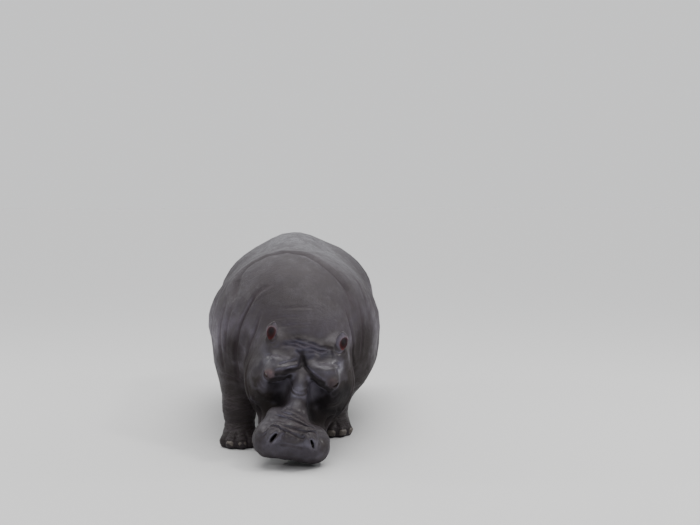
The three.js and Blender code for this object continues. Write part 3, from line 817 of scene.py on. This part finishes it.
# Painted shade low on the sides of the neck.
NECK_SHADES = [
    (.490, -.640, .720, .190, .9), (.420, -.740, .640, .150, .9), (-.430, -.760, .700, .110, .85),
    (.500, -.600, .520, .160, .8), (-.500, -.680, .580, .130, .8), (-.350, -.880, .780, .070, .6),
    (-.300, -.900, .600, .120, .7), (.380, -.860, .600, .140, .8),
]
WRINKLED_SPOTS = [(0, -.56, -.04, .100, 1), (.120, -.56, -.08, .075, 1), (0, -.01, 0, .042, .8),
                  (.080, -.01, 0, .042, .8), (.150, -.02, 0, .036, .6)]
LIP_SPOTS = [(.150, -.735, -.190, .085, 1), (.060, -.745, -.235, .060, 1), (.230, -.640, -.230, .070, 1),
             (.080, -.640, -.400, .090, .6)]


def hide_masks(p, normals):
    """Each mask's name and how much of it there is at each point."""
    q = head_place(p)
    sided = as_left(q)
    from_middle = length(p - column(HEAD_MIDDLE))
    on_face = 1 - share(from_middle - .38, .16)
    uneven = np.array([ripple(q, .075, seed) for seed in (11, 12, 13)])  # lets the spots' outlines wander
    cups = np.minimum(*[cup(q) for cup in EAR_CUPS])
    slits = np.minimum(*[slit(q) for slit in NOSTRIL_SLITS])
    near_ear = length(sided - column((.244, .016, .070))) < .100
    behind_rim = .866 * (q[1] - .014) - .5 * (q[2] - .064)
    rim = hill(cups - .004, .007) * near_ear
    on_lips = (q[1] < -.29) & (q[2] < -.2) & (length(q) < 1.0)
    mouth = hill(lip_gap(q), .010) * on_lips * share(-.32 - q[1], .05)
    round_eye = hill(np.maximum(length(sided - column((.215, -.262, .006))) - .026, 0), .016)
    lids_pink = np.where(q[0] < 0, .85, .6) * round_eye * share(-.225 - q[1], .030)
    sunk = in_blocks(creases.sunk, p)
    in_furrow = share(sunk - .008, .009)
    in_nostril = np.clip(1 - (slits - .001) / .006, 0, 1) * on_face
    return {
        # painted shade in the creases and along the line between the lips
        "crease shade": np.maximum(sunk / .006, mouth),
        "pink": lids_pink + .45 * rim + .15 * mouth,
        "ear inside": np.clip(1 - (cups + .001) / .004, 0, 1) * near_ear,
        # painted shade, deeper in the ear's cup
        "ear cup shade": share(behind_rim - .002, .030) * near_ear,
        # painted shade on the face and low on the neck
        "shade": np.maximum(patches(q + .018 * uneven, SHADE_SPOTS), patches(p, NECK_SHADES)),
        # painted light on the brows, the bridge and the muzzle
        "pale": patches(q + .012 * uneven, PAINTED_LIGHT_SPOTS),
        # wet places, which are glossier and carry painted sheen in their colour
        "wet and sheen": np.maximum(patches(q + .012 * uneven, WET_AND_SHEEN_SPOTS), .8 * patches(p, WET_AND_SHEEN_BACK)),
        # painted shade in the hollows, the deep furrows and the nostrils
        "hollow": np.max([patches(q + .007 * uneven, HOLLOW_SHADE_SPOTS), in_furrow, in_nostril], axis=0),
        "rows": patches(sided, WRINKLED_SPOTS),
        "shins": share(.50 - p[2], .15) * share(from_middle - .45, .1),
        "face": on_face,
        # painted shade on the faces that turn down
        "turned down": .5 - .6 * normals[2],
        "lip bristles": patches(sided, LIP_SPOTS) * (slits > .012) * (np.abs(lip_gap(q)) > .012),
        "ear bristles": rim * (cups > .002),
        "tail bristles": share(.86 - p[2], .10) * (p[1] > 1.49) * (np.abs(p[0]) < .08),
    }


def hide():
    """The closed skin: the head keeps more of its faces than the body, and its fine places get more."""
    points, quads = net_of(skin, *FIELD_BOX)
    piece = mesh_object("hide", points, quads)
    thin = piece.modifiers.new("thin", "DECIMATE")
    thin.ratio = BODY_FACES / (2 * len(quads))
    weights = piece.vertex_groups.new(name="plain places")
    away_from_head = np.clip(length(points.T - column(HEAD_MIDDLE)) / 0.5 - 0.9, 0, 1)
    for n, weight in enumerate(away_from_head):
        weights.add([n], 0.15 + 0.85 * weight, "REPLACE")
    thin.vertex_group, thin.vertex_group_factor = "plain places", 1.0
    plain(piece)
    piece.vertex_groups.clear()
    refine(piece.data, FINE_SPOTS)
    refine(piece.data, FINEST_SPOTS)
    piece.data.shade_smooth()
    p = settle(skin, at_corners(piece.data, "co"))
    put_places(piece.data, p + column(CHEST))
    for name, values in hide_masks(p, at_corners(piece.data, "normal")).items():
        paint(piece.data, name, values)
    return piece


skin_piece = hide()
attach(skin_piece, "root")
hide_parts("trunk", "neck", "head", "tail", "foreleg_left", "foreleg_right", "hindleg_left",
            "hindleg_right", "ear_left", "ear_right")


# ---- Nodes ----
def put(tree, kind, **settings):
    """Adds a node: a setting is one of its own properties or, with in_, one of its inputs."""
    made = tree.nodes.new(kind)
    for name, value in settings.items():
        if name.startswith("in_"):
            feed(tree, made.inputs[name[3:].replace("_", " ")], value)
        else:
            setattr(made, name, value)
    return made


def feed(tree, socket, value):
    if isinstance(value, bpy.types.NodeSocket):
        tree.links.new(value, socket)
    elif isinstance(value, tuple) and socket.type == "RGBA":
        socket.default_value = (*value, 1)
    else:
        socket.default_value = value


def mixed(tree, amount, first, second):
    made = put(tree, "ShaderNodeMix", data_type="RGBA")
    for number, value in ((0, amount), (6, first), (7, second)):
        feed(tree, made.inputs[number], value)
    return made.outputs[2]


def sums(tree, operation, *values):
    made = put(tree, "ShaderNodeMath", operation=operation)
    for number, value in enumerate(values):
        feed(tree, made.inputs[number], value)
    return made.outputs[0]


def times(tree, first, second):
    return sums(tree, "MULTIPLY", first, second)


def spread(tree, value, low, high, to_low=0.0, to_high=1.0):
    made = put(tree, "ShaderNodeMapRange", interpolation_type="SMOOTHSTEP", in_Value=value, in_From_Min=low,
               in_From_Max=high, in_To_Min=to_low, in_To_Max=to_high)
    return made.outputs["Result"]


def painted(tree, name):
    return put(tree, "ShaderNodeAttribute", attribute_name=name).outputs["Fac"]


def objects_own(tree):
    return put(tree, "ShaderNodeTexCoord").outputs["Object"]


def noise(tree, place, scale, detail=4.0, rough=0.55, warp=0.0):
    return put(tree, "ShaderNodeTexNoise", in_Vector=place, in_Scale=scale, in_Detail=detail,
               in_Roughness=rough, in_Distortion=warp).outputs["Fac"]


def stretched(tree, place, by):
    made = put(tree, "ShaderNodeVectorMath", operation="MULTIPLY")
    feed(tree, made.inputs[0], place)
    feed(tree, made.inputs[1], by)
    return made.outputs[0]


def group(name, inputs, outputs, build):
    """A shader node group. Its inputs are numbers, or vectors where none is given. It puts out numbers."""
    tree = bpy.data.node_groups.new(name, "ShaderNodeTree")
    for label, value in inputs.items():
        kind = "NodeSocketVector" if value is None else "NodeSocketFloat"
        socket = tree.interface.new_socket(label, in_out="INPUT", socket_type=kind)
        if value is not None:
            socket.default_value = value
    for label in outputs:
        tree.interface.new_socket(label, in_out="OUTPUT", socket_type="NodeSocketFloat")
    source, end = put(tree, "NodeGroupInput"), put(tree, "NodeGroupOutput")
    for label, value in build(tree, source.outputs).items():
        tree.links.new(value, end.inputs[label])
    return tree


def use(tree, made_group, **values):
    made = put(tree, "ShaderNodeGroup", node_tree=made_group)
    for label, value in values.items():
        feed(tree, made.inputs[label], value)
    return made.outputs


def cracked(tree, inputs):
    """A net of fine cracks with a smaller one inside it, as old skin and horn have."""
    warp = put(tree, "ShaderNodeTexNoise", in_Vector=inputs["Place"], in_Scale=9.0, in_Detail=2.0)
    warped = put(tree, "ShaderNodeVectorMath", operation="MULTIPLY_ADD")
    feed(tree, warped.inputs[0], warp.outputs["Color"])
    feed(tree, warped.inputs[1], (0.03, 0.03, 0.03))
    feed(tree, warped.inputs[2], inputs["Place"])
    nets = []
    for finer in (1.0, 2.9):
        cells = put(tree, "ShaderNodeTexVoronoi", feature="DISTANCE_TO_EDGE", in_Vector=warped.outputs[0],
                    in_Scale=times(tree, inputs["Scale"], finer))
        nets.append(spread(tree, cells.outputs["Distance"], 0.0, 0.16))
    both_nets = sums(tree, "MULTIPLY_ADD", nets[1], 0.45, nets[0])
    return {"Height": both_nets, "Crack": sums(tree, "SUBTRACT", 1.0, nets[0])}


def blotched(tree, inputs):
    """Soft blotches of two sizes."""
    large = noise(tree, inputs["Place"], inputs["Scale"], 3.0, 0.6, 0.4)
    small = noise(tree, inputs["Place"], times(tree, inputs["Scale"], 6.3), 5.0, 0.65)
    both_sizes = sums(tree, "MULTIPLY_ADD", small, 0.45, times(tree, large, 0.55))
    return {"Amount": spread(tree, both_sizes, 0.36, 0.66)}


def wrinkled(tree, inputs):
    """Long soft folds with thin furrows between them, which lie across the way that Stretch is strongest."""
    place = stretched(tree, inputs["Place"], inputs["Stretch"])
    folds = []
    for finer, line in ((1.0, 0.075), (2.3, 0.060)):
        wave = noise(tree, place, finer, 2.5, 0.5, 0.7)
        folds.append(spread(tree, sums(tree, "ABSOLUTE", sums(tree, "SUBTRACT", wave, 0.5)), 0.0, line))
    both_folds = sums(tree, "MULTIPLY_ADD", folds[1], 0.4, folds[0])
    return {"Height": both_folds, "Furrow": sums(tree, "SUBTRACT", 1.0, folds[0])}


cracks = group("cracked skin", {"Place": None, "Scale": 60.0}, ("Height", "Crack"), cracked)
blotches = group("blotches", {"Place": None, "Scale": 3.0}, ("Amount",), blotched)
wrinkles = group("wrinkles", {"Place": None, "Stretch": None}, ("Height", "Furrow"), wrinkled)


def finish_named(name, **constants):
    """A material and its shader, with the values that are the same all over."""
    made = bpy.data.materials.new(name)
    made.use_nodes = True
    shader = made.node_tree.nodes["Principled BSDF"]
    for label, value in constants.items():
        feed(made.node_tree, shader.inputs[label.replace("_", " ")], value)
    return made, made.node_tree, shader


def bumped(tree, shader, heights):
    """Chains bumps: each is its height, its depth in metres and its strength."""
    normal = None
    for height, depth, strength in heights:
        bump = put(tree, "ShaderNodeBump", in_Height=height, in_Distance=depth, in_Strength=strength)
        if normal:
            tree.links.new(normal, bump.inputs["Normal"])
        normal = bump.outputs["Normal"]
    tree.links.new(normal, shader.inputs["Normal"])


# The low, dusk and hollow colours are painted shade, the pale one is painted light and sheen, and the crack
# colour is both the real cracks and painted shade in creases.
HIDE_DARK, HIDE_LIGHT, HIDE_BROWN = (0.156, 0.139, 0.179), (0.280, 0.252, 0.320), (0.156, 0.134, 0.148)
HIDE_FACE, PAINTED_SHADE, CRACK_AND_CREASE_SHADE = (0.076, 0.071, 0.099), (0.016, 0.012, 0.010), (0.040, 0.030, 0.034)
PAINTED_LIGHT, PAINTED_SHADE_BLUISH = (0.330, 0.320, 0.415), (0.021, 0.019, 0.031)
HIDE_PINK, PAINTED_HOLLOW_SHADE, EAR_INSIDE = (0.190, 0.115, 0.115), (0.008, 0.006, 0.007), (0.138, 0.026, 0.027)
EYE_WHITE, EYE_VEINS, EYE_PUPIL = (0.20, 0.10, 0.075), (0.10, 0.035, 0.028), (0.002, 0.002, 0.002)
IRIS_LIGHT, IRIS_DARK = (0.075, 0.030, 0.010), (0.028, 0.011, 0.005)
NAIL_DARK, NAIL_LIGHT, NAIL_CRACK = (0.060, 0.048, 0.040), (0.150, 0.125, 0.105), (0.030, 0.024, 0.020)
BRISTLE_DARK, BRISTLE_LIGHT = (0.020, 0.015, 0.012), (0.085, 0.060, 0.045)


def hide_colour(tree, place, masks, wide, small, grain, folded):
    """Lays the colours over each other, from the broad ones to the finest."""
    # Some of these layers are painted light, painted sheen and painted shade.
    above_floor = put(tree, "ShaderNodeSeparateXYZ", in_Vector=place).outputs["Z"]
    face = masks["face"]
    colour = mixed(tree, wide, HIDE_DARK, HIDE_LIGHT)
    colour = mixed(tree, times(tree, small, 0.65), colour, HIDE_BROWN)
    colour = mixed(tree, times(tree, face, 0.75), colour, HIDE_FACE)
    # Painted light: paler hide on the lit brows, bridge and muzzle.
    painted_light_and_dry_roughness = times(tree, masks["pale"], spread(tree, small, 0.0, 1.0, 0.9, 0.5))
    colour = mixed(tree, painted_light_and_dry_roughness, colour, PAINTED_LIGHT)
    # Painted sheen: pale streaks where the hide is wet.
    painted_sheen = spread(tree, noise(tree, place, 34.0, 5.0, 0.7), 0.44, 0.66, 0.0, 0.55)
    colour = mixed(tree, times(tree, masks["wet and sheen"], painted_sheen), colour, PAINTED_LIGHT)
    # Painted shade: darker towards the floor, with little of it on the face.
    low = spread(tree, sums(tree, "MULTIPLY_ADD", wide, 0.12, above_floor), 0.98, 0.44)
    colour = mixed(tree, times(tree, low, spread(tree, face, 0.0, 1.0, 0.92, 0.05)), colour, PAINTED_SHADE)
    # Painted shade on the faces that turn down.
    colour = mixed(tree, spread(tree, masks["turned down"], 0.20, 0.82, 0.0, 0.88), colour, PAINTED_SHADE)
    patchy = times(tree, masks["pink"], spread(tree, small, 0.0, 0.8, 0.55, 1.0))
    colour = mixed(tree, times(tree, patchy, 0.70), colour, HIDE_PINK)
    # Painted shade: bluer high on the face, browner below.
    dim = mixed(tree, spread(tree, times(tree, face, above_floor), 0.56, 0.72), PAINTED_SHADE, PAINTED_SHADE_BLUISH)
    colour = mixed(tree, times(tree, masks["shade"], 0.98), colour, dim)
    colour = mixed(tree, times(tree, grain["Crack"], 0.30), colour, CRACK_AND_CREASE_SHADE)
    # Painted shade in the creases, along the mouth and in the furrows of the fine wrinkles.
    lines = sums(tree, "MAXIMUM", masks["crease shade"], folded)
    colour = mixed(tree, times(tree, lines, 0.60), colour, CRACK_AND_CREASE_SHADE)
    # Painted shade, near black, in the hollows, the deep furrows and the nostrils.
    deep = times(tree, masks["hollow"], spread(tree, small, 0.0, 1.0, 1.0, 0.90))
    colour = mixed(tree, deep, colour, PAINTED_HOLLOW_SHADE)
    # The ear's inside, with painted shade deeper in its cup.
    in_cup = mixed(tree, masks["ear cup shade"], EAR_INSIDE, PAINTED_HOLLOW_SHADE)
    return mixed(tree, masks["ear inside"], colour, in_cup)


def hide_material():
    made, tree, shader = finish_named("hide", IOR=1.30, Coat_Roughness=0.16)
    place = objects_own(tree)
    on_head = put(tree, "ShaderNodeMapping", vector_type="TEXTURE", in_Vector=place,
                  in_Location=Vector(POLL) + Vector(CHEST), in_Rotation=HEAD_TURN.to_euler()).outputs[0]
    masks = {name: painted(tree, name) for name in (
        "crease shade", "pink", "wet and sheen", "face", "turned down", "ear inside", "ear cup shade", "hollow", "shade", "pale",
        "rows", "shins")}
    wide = use(tree, blotches, Place=place, Scale=2.2)["Amount"]
    small = use(tree, blotches, Place=place, Scale=13.0)["Amount"]
    grain = use(tree, cracks, Place=place, Scale=105.0)
    across_face = use(tree, wrinkles, Place=on_head, Stretch=(4.5, 21.0, 14.0))
    round_leg = use(tree, wrinkles, Place=place, Stretch=(5.0, 5.0, 30.0))
    down_flank = use(tree, wrinkles, Place=place, Stretch=(4.0, 10.0, 2.5))
    # The furrows of the fine wrinkles, for painted shade in them.
    folded = sums(tree, "MAXIMUM", times(tree, across_face["Furrow"], masks["rows"]),
                  times(tree, round_leg["Furrow"], masks["shins"]))
    feed(tree, shader.inputs["Base Color"], hide_colour(tree, place, masks, wide, small, grain, folded))

    damp = noise(tree, place, 48.0, 5.0, 0.65, 0.3)
    sheltered = sums(tree, "MAXIMUM", masks["hollow"], times(tree, masks["crease shade"], 0.7))
    gloss = times(tree, times(tree, masks["wet and sheen"], spread(tree, damp, 0.32, 0.66, 0.35, 1.0)),
                  sums(tree, "SUBTRACT", 1.0, sheltered))
    painted_light_and_dry_roughness = spread(tree, sums(tree, "MULTIPLY_ADD", damp, 0.5, times(tree, wide, 0.5)), 0.3, 0.7, 0.56, 0.40)
    rough = sums(tree, "MULTIPLY_ADD", sums(tree, "MAXIMUM", masks["hollow"], masks["shade"]), 0.35, painted_light_and_dry_roughness)
    feed(tree, shader.inputs["Roughness"], sums(tree, "MULTIPLY_ADD", gloss, -0.20, rough))
    feed(tree, shader.inputs["Coat Weight"], times(tree, times(tree, gloss, masks["face"]), 0.90))
    bumped(tree, shader, (
        (noise(tree, place, 21.0, 4.0, 0.6, 0.8), 0.008, 0.30),
        (down_flank["Height"], 0.0040, 0.16),
        (times(tree, across_face["Height"], masks["rows"]), 0.0050, 0.40),
        (times(tree, round_leg["Height"], masks["shins"]), 0.0050, 0.60),
        (grain["Height"], 0.0012, 0.35),
    ))
    return made


def eye_material():
    made, tree, shader = finish_named("eye", Roughness=0.10, Coat_Weight=1.0, Coat_Roughness=0.02)
    place = objects_own(tree)
    veins = use(tree, blotches, Place=place, Scale=120.0)["Amount"]
    white = mixed(tree, veins, EYE_WHITE, EYE_VEINS)
    iris = mixed(tree, noise(tree, place, 240.0, 3.0), IRIS_LIGHT, IRIS_DARK)
    colour = mixed(tree, spread(tree, painted(tree, "iris"), 0.46, 0.50), iris, white)
    colour = mixed(tree, spread(tree, painted(tree, "pupil"), 0.46, 0.52), EYE_PUPIL, colour)
    feed(tree, shader.inputs["Base Color"], colour)
    return made


def nail_material():
    made, tree, shader = finish_named("nail", Coat_Weight=0.1, Coat_Roughness=0.4)
    place = objects_own(tree)
    wear = use(tree, blotches, Place=place, Scale=28.0)["Amount"]
    grain = use(tree, cracks, Place=place, Scale=150.0)
    growth = put(tree, "ShaderNodeTexWave", wave_type="BANDS", bands_direction="Z", in_Vector=place,
                 in_Scale=70.0, in_Distortion=3.0, in_Detail=2.0).outputs["Fac"]
    colour = mixed(tree, wear, NAIL_DARK, NAIL_LIGHT)
    colour = mixed(tree, times(tree, grain["Crack"], 0.4), colour, NAIL_CRACK)
    feed(tree, shader.inputs["Base Color"], colour)
    feed(tree, shader.inputs["Roughness"], spread(tree, wear, 0.0, 1.0, 0.42, 0.62))
    bumped(tree, shader, ((growth, 0.0012, 0.5), (grain["Height"], 0.0006, 0.4)))
    return made


def bristle_material():
    made, tree, shader = finish_named("bristle")
    shade = noise(tree, objects_own(tree), 90.0, 2.0)
    feed(tree, shader.inputs["Base Color"], mixed(tree, shade, BRISTLE_DARK, BRISTLE_LIGHT))
    feed(tree, shader.inputs["Roughness"], spread(tree, shade, 0.2, 0.8, 0.35, 0.55))
    return made


hide_finish, eye_finish, nail_finish = hide_material(), eye_material(), nail_material()
bristle_finish = bristle_material()
skin_piece.data.materials.append(hide_finish)


# ---- Eyes ----
IRIS_WIDTH, PUPIL_HEIGHT = 0.030, 0.009               # each one's mask is a half at its edge
PUPIL_LONG = 1.5                                      # its width as a share of its height


def eye(side):
    middle = from_head((side * EYE[0], *EYE[1:])) + CHEST
    shape = bmesh.new()
    bmesh.ops.create_icosphere(shape, subdivisions=4, radius=EYE_RADIUS, matrix=Matrix.Translation(middle))
    mesh = bpy.data.meshes.new("eyeball_" + SIDES[side])
    shape.to_mesh(mesh)
    shape.free()
    mesh.shade_smooth()
    piece = added("eyeball_" + SIDES[side], mesh)
    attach(piece, "root")
    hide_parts("eye_" + SIDES[side])
    place = TO_HEAD @ (at_corners(mesh, "co") - column(middle))
    across, high, front = [axis @ place for axis in eye_axes(side)]
    behind = (front < 0) * 2.0
    paint(mesh, "iris", np.hypot(across, high) / IRIS_WIDTH + behind)
    paint(mesh, "pupil", np.hypot(across / PUPIL_LONG, high) / PUPIL_HEIGHT + behind)
    mesh.materials.append(eye_finish)


both(eye)


# ---- Nails ----
NAIL = Vector((0.031, 0.019, 0.027))                  # half its width, thickness and height
NAIL_REACH, NAIL_HEIGHT, NAIL_LEAN = 0.127, 0.038, 22


def nail(x, y, turn):
    """A blunt round nail with growth ridges, in front of its toe."""
    shape = bmesh.new()
    bmesh.ops.create_icosphere(shape, subdivisions=4, radius=1)
    for v in shape.verts:
        blunt = sum(abs(c) ** 2.7 for c in v.co) ** (-1 / 2.7)
        ridge = 1 + 0.012 * math.sin(34 * v.co.z)
        v.co = Vector((v.co.x * NAIL.x * ridge, v.co.y * NAIL.y * ridge, v.co.z * NAIL.z)) * blunt
    lie = Matrix.Translation((x, y, NAIL_HEIGHT)) @ Matrix.Rotation(math.radians(turn), 4, "Z") \
        @ Matrix.Rotation(math.radians(NAIL_LEAN), 4, "X")
    bmesh.ops.transform(shape, matrix=lie, verts=shape.verts)
    return shape


def nails(foot_name, stand, side):
    whole = bmesh.new()
    for turn in TOES:
        one = nail(*toe_place(stand, side, turn, NAIL_REACH), turn + side * SPLAY)
        part = bpy.data.meshes.new("one nail")
        one.to_mesh(part)
        one.free()
        whole.from_mesh(part)
        bpy.data.meshes.remove(part)
    bmesh.ops.translate(whole, verts=whole.verts, vec=CHEST)
    mesh = bpy.data.meshes.new("nails_" + foot_name)
    whole.to_mesh(mesh)
    whole.free()
    mesh.shade_smooth()
    mesh.materials.append(nail_finish)
    piece = added("nails_" + foot_name, mesh)
    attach(piece, "root")
    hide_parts(*[f"nail_{foot_name}_{n}" for n in (1, 2, 3, 4)])


for side, side_name in SIDES.items():
    nails("fore_" + side_name, FORE[side], side)
    nails("hind_" + side_name, HIND[side], side)


# ---- Bristles ----
STEM_SIDES, STEM_RINGS = 3, 5


def bristle_tree():
    """Scatters curved tapering bristles over a mesh where its mask allows them."""
    tree = bpy.data.node_groups.new("bristles", "GeometryNodeTree")
    for label, kind in (("Geometry", "Geometry"), ("Mask", "Float"), ("Density", "Float"),
                        ("Length", "Float"), ("Width", "Float"), ("Droop", "Float"), ("Lean", "Vector"),
                        ("Material", "Material")):
        tree.interface.new_socket(label, in_out="INPUT", socket_type="NodeSocket" + kind)
    tree.interface.new_socket("Geometry", in_out="OUTPUT", socket_type="NodeSocketGeometry")
    source, end = put(tree, "NodeGroupInput").outputs, put(tree, "NodeGroupOutput")
    density = times(tree, source["Density"], source["Mask"])
    scatter = put(tree, "GeometryNodeDistributePointsOnFaces", distribute_method="RANDOM",
                  in_Mesh=source["Geometry"], in_Seed=7, in_Density=density)
    bend = put(tree, "ShaderNodeCombineXYZ", in_Z=0.5).outputs[0]
    tip = put(tree, "ShaderNodeCombineXYZ", in_X=source["Droop"], in_Z=0.95).outputs[0]
    start = put(tree, "ShaderNodeCombineXYZ").outputs[0]
    stem = put(tree, "GeometryNodeCurveQuadraticBezier", in_Resolution=STEM_RINGS - 1, in_Start=start,
               in_Middle=bend, in_End=tip)
    along = put(tree, "GeometryNodeSplineParameter").outputs["Factor"]
    taper = put(tree, "GeometryNodeSetCurveRadius", in_Curve=stem.outputs[0],
                in_Radius=sums(tree, "MULTIPLY_ADD", along, -0.8, 1.0))
    rounded = put(tree, "GeometryNodeCurvePrimitiveCircle", in_Resolution=STEM_SIDES)
    feed(tree, rounded.inputs["Radius"], sums(tree, "DIVIDE", source["Width"], source["Length"]))
    solid = put(tree, "GeometryNodeCurveToMesh", in_Curve=taper.outputs[0],
                in_Profile_Curve=rounded.outputs[0], in_Fill_Caps=True)
    chance = put(tree, "FunctionNodeRandomValue", data_type="FLOAT")
    for label, value in (("Min", 0.55), ("Max", 1.0), ("Seed", 3)):
        next(i for i in chance.inputs if i.name == label and i.enabled).default_value = value
    size = times(tree, source["Length"], next(o for o in chance.outputs if o.enabled))
    way = put(tree, "ShaderNodeVectorMath", operation="ADD")
    feed(tree, way.inputs[0], scatter.outputs["Normal"])
    feed(tree, way.inputs[1], source["Lean"])
    turned = put(tree, "FunctionNodeAlignRotationToVector", axis="Z", in_Rotation=scatter.outputs["Rotation"],
                 in_Vector=way.outputs[0])
    placed = put(tree, "GeometryNodeInstanceOnPoints", in_Points=scatter.outputs["Points"],
                 in_Instance=solid.outputs[0], in_Rotation=turned.outputs[0], in_Scale=size)
    whole = put(tree, "GeometryNodeRealizeInstances", in_Geometry=placed.outputs[0])
    dressed = put(tree, "GeometryNodeSetMaterial", in_Geometry=whole.outputs[0],
                  in_Material=source["Material"])
    tree.links.new(dressed.outputs[0], end.inputs["Geometry"])
    return tree


GROW = bristle_tree()
STEM_POINTS = STEM_SIDES * STEM_RINGS
PATCH = 0.003                                         # each bristle's share of the bake map


def bristles(name, unwrap, **values):
    """Bristles on the hide, each with its own small patch of the bake map."""
    piece = added(name, skin_piece.data.copy())
    grow = piece.modifiers.new("grow", "NODES")
    grow.node_group = GROW
    key = {i.name: i.identifier for i in GROW.interface.items_tree if i.in_out == "INPUT"}
    grow[key["Mask"] + "_use_attribute"] = True
    grow[key["Mask"] + "_attribute_name"] = name.replace("_", " ")
    for label, value in values.items():
        grow[key[label]] = value
    grow[key["Material"]] = bristle_finish
    plain(piece)
    piece.data.name = name
    p = at_corners(piece.data, "co") - column(CHEST)
    spot = unwrap(p[:, ::STEM_POINTS]).repeat(STEM_POINTS, axis=1)
    point = np.arange(p.shape[1]) % STEM_POINTS
    round_stem, along_stem = point % STEM_SIDES / (STEM_SIDES - 1), point // STEM_SIDES / (STEM_RINGS - 1)
    spot = spot + PATCH * np.array([round_stem, along_stem])
    corner = np.empty(len(piece.data.loops), dtype=int)
    piece.data.loops.foreach_get("vertex_index", corner)
    piece.data.uv_layers.new(name="OFBake").data.foreach_set("uv", spot[:, corner].T.ravel())
    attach(piece, "root")


def round_head(p):
    """Unwraps the head round its long axis."""
    q = head_place(p)
    return np.array([0.5 + np.arctan2(q[0], q[2] + .2) / 6.4, 0.5 + q[1] / 2.2])


def round_tail(p):
    return np.array([0.5 + np.arctan2(p[0] - .01, p[1] - 1.53) / 6.4, p[2] / 1.6])


bristles("lip_bristles", round_head, Density=9000.0, Length=0.040, Width=0.0006, Droop=0.30,
         Lean=(0, -0.4, -0.5))
bristles("ear_bristles", round_head, Density=20000.0, Length=0.020, Width=0.0004, Droop=0.25,
         Lean=(0, -0.3, 0.6))
bristles("tail_bristles", round_tail, Density=16000.0, Length=0.085, Width=0.0008, Droop=0.25,
         Lean=(0, 0, -2.6))


# ---- Floor, lights and camera ----
BACKDROP = (0.905, 0.910, 0.917)                      # as light as the far floor, so that no edge shows
FLOOR_REACH = 60
LIT_MIDDLE = (0, 0, 0.6)                              # where every lamp points
EYE_LEVEL = Vector((0, -8.2821, 1.9121)) + Vector(CHEST)
LOOK_DOWN, LOOK_RIGHT = 4.508, 3.0524                 # degrees
LENS = 54.82                                          # mm


def area_light(name, place, width, height, power):
    data = bpy.data.lights.new(name, "AREA")
    data.shape, data.size, data.size_y, data.energy = "RECTANGLE", width, height, power
    light = added(name, data)
    light.location = place
    light.rotation_euler = (Vector(LIT_MIDDLE) - Vector(place)).to_track_quat("-Z", "Y").to_euler()


floor_mesh = bpy.data.meshes.new("floor")
floor_corners = [(x * FLOOR_REACH, y * FLOOR_REACH, 0) for x, y in ((-1, -1), (1, -1), (1, 1), (-1, 1))]
floor_mesh.from_pydata(floor_corners, [], [(0, 1, 2, 3)])
floor_mesh.materials.append(finish_named("pale floor", Base_Color=(0.50, 0.495, 0.485), Roughness=0.95)[0])
floor = added("floor", floor_mesh)

overhead_data = bpy.data.lights.new("overhead", "SUN")
overhead_data.energy, overhead_data.angle = 4.0, math.radians(64)
overhead = added("overhead", overhead_data)
overhead.rotation_euler = Vector((0.04, 0.05, 1.0)).to_track_quat("Z", "Y").to_euler()
area_light("front", (-1.0, -7.5, 5.5), 4.0, 2.5, 150)
area_light("left", (3.8, -2.4, 6.2), 0.8, 0.8, 170)
area_light("left rim", (6.0, 0.3, 4.0), 0.8, 0.8, 80)
area_light("right rim", (-5.6, 1.2, 3.9), 0.8, 0.8, 110)

world = bpy.data.worlds.new("studio")
world.use_nodes = True
sky = world.node_tree
upward = put(sky, "ShaderNodeSeparateXYZ", in_Vector=put(sky, "ShaderNodeTexCoord").outputs["Generated"])
dome = mixed(sky, spread(sky, upward.outputs["Z"], 0.0, 0.6), (0.07, 0.07, 0.07), (0.34, 0.36, 0.40))
behind = times(sky, spread(sky, upward.outputs["Y"], 0.2, 0.95), spread(sky, upward.outputs["Z"], 0.06, 0.30))
dome = mixed(sky, behind, dome, (1.5, 1.54, 1.60))
seen = put(sky, "ShaderNodeLightPath").outputs["Is Camera Ray"]
feed(sky, sky.nodes["Background"].inputs["Color"], mixed(sky, seen, dome, BACKDROP))
bpy.context.scene.world = world

lens = bpy.data.cameras.new("camera")
lens.sensor_width, lens.lens = 36, LENS
camera = added("camera", lens)
camera.location = EYE_LEVEL
camera.rotation_euler = (math.radians(90 - LOOK_DOWN), 0, math.radians(-LOOK_RIGHT))
bpy.context.scene.camera = camera
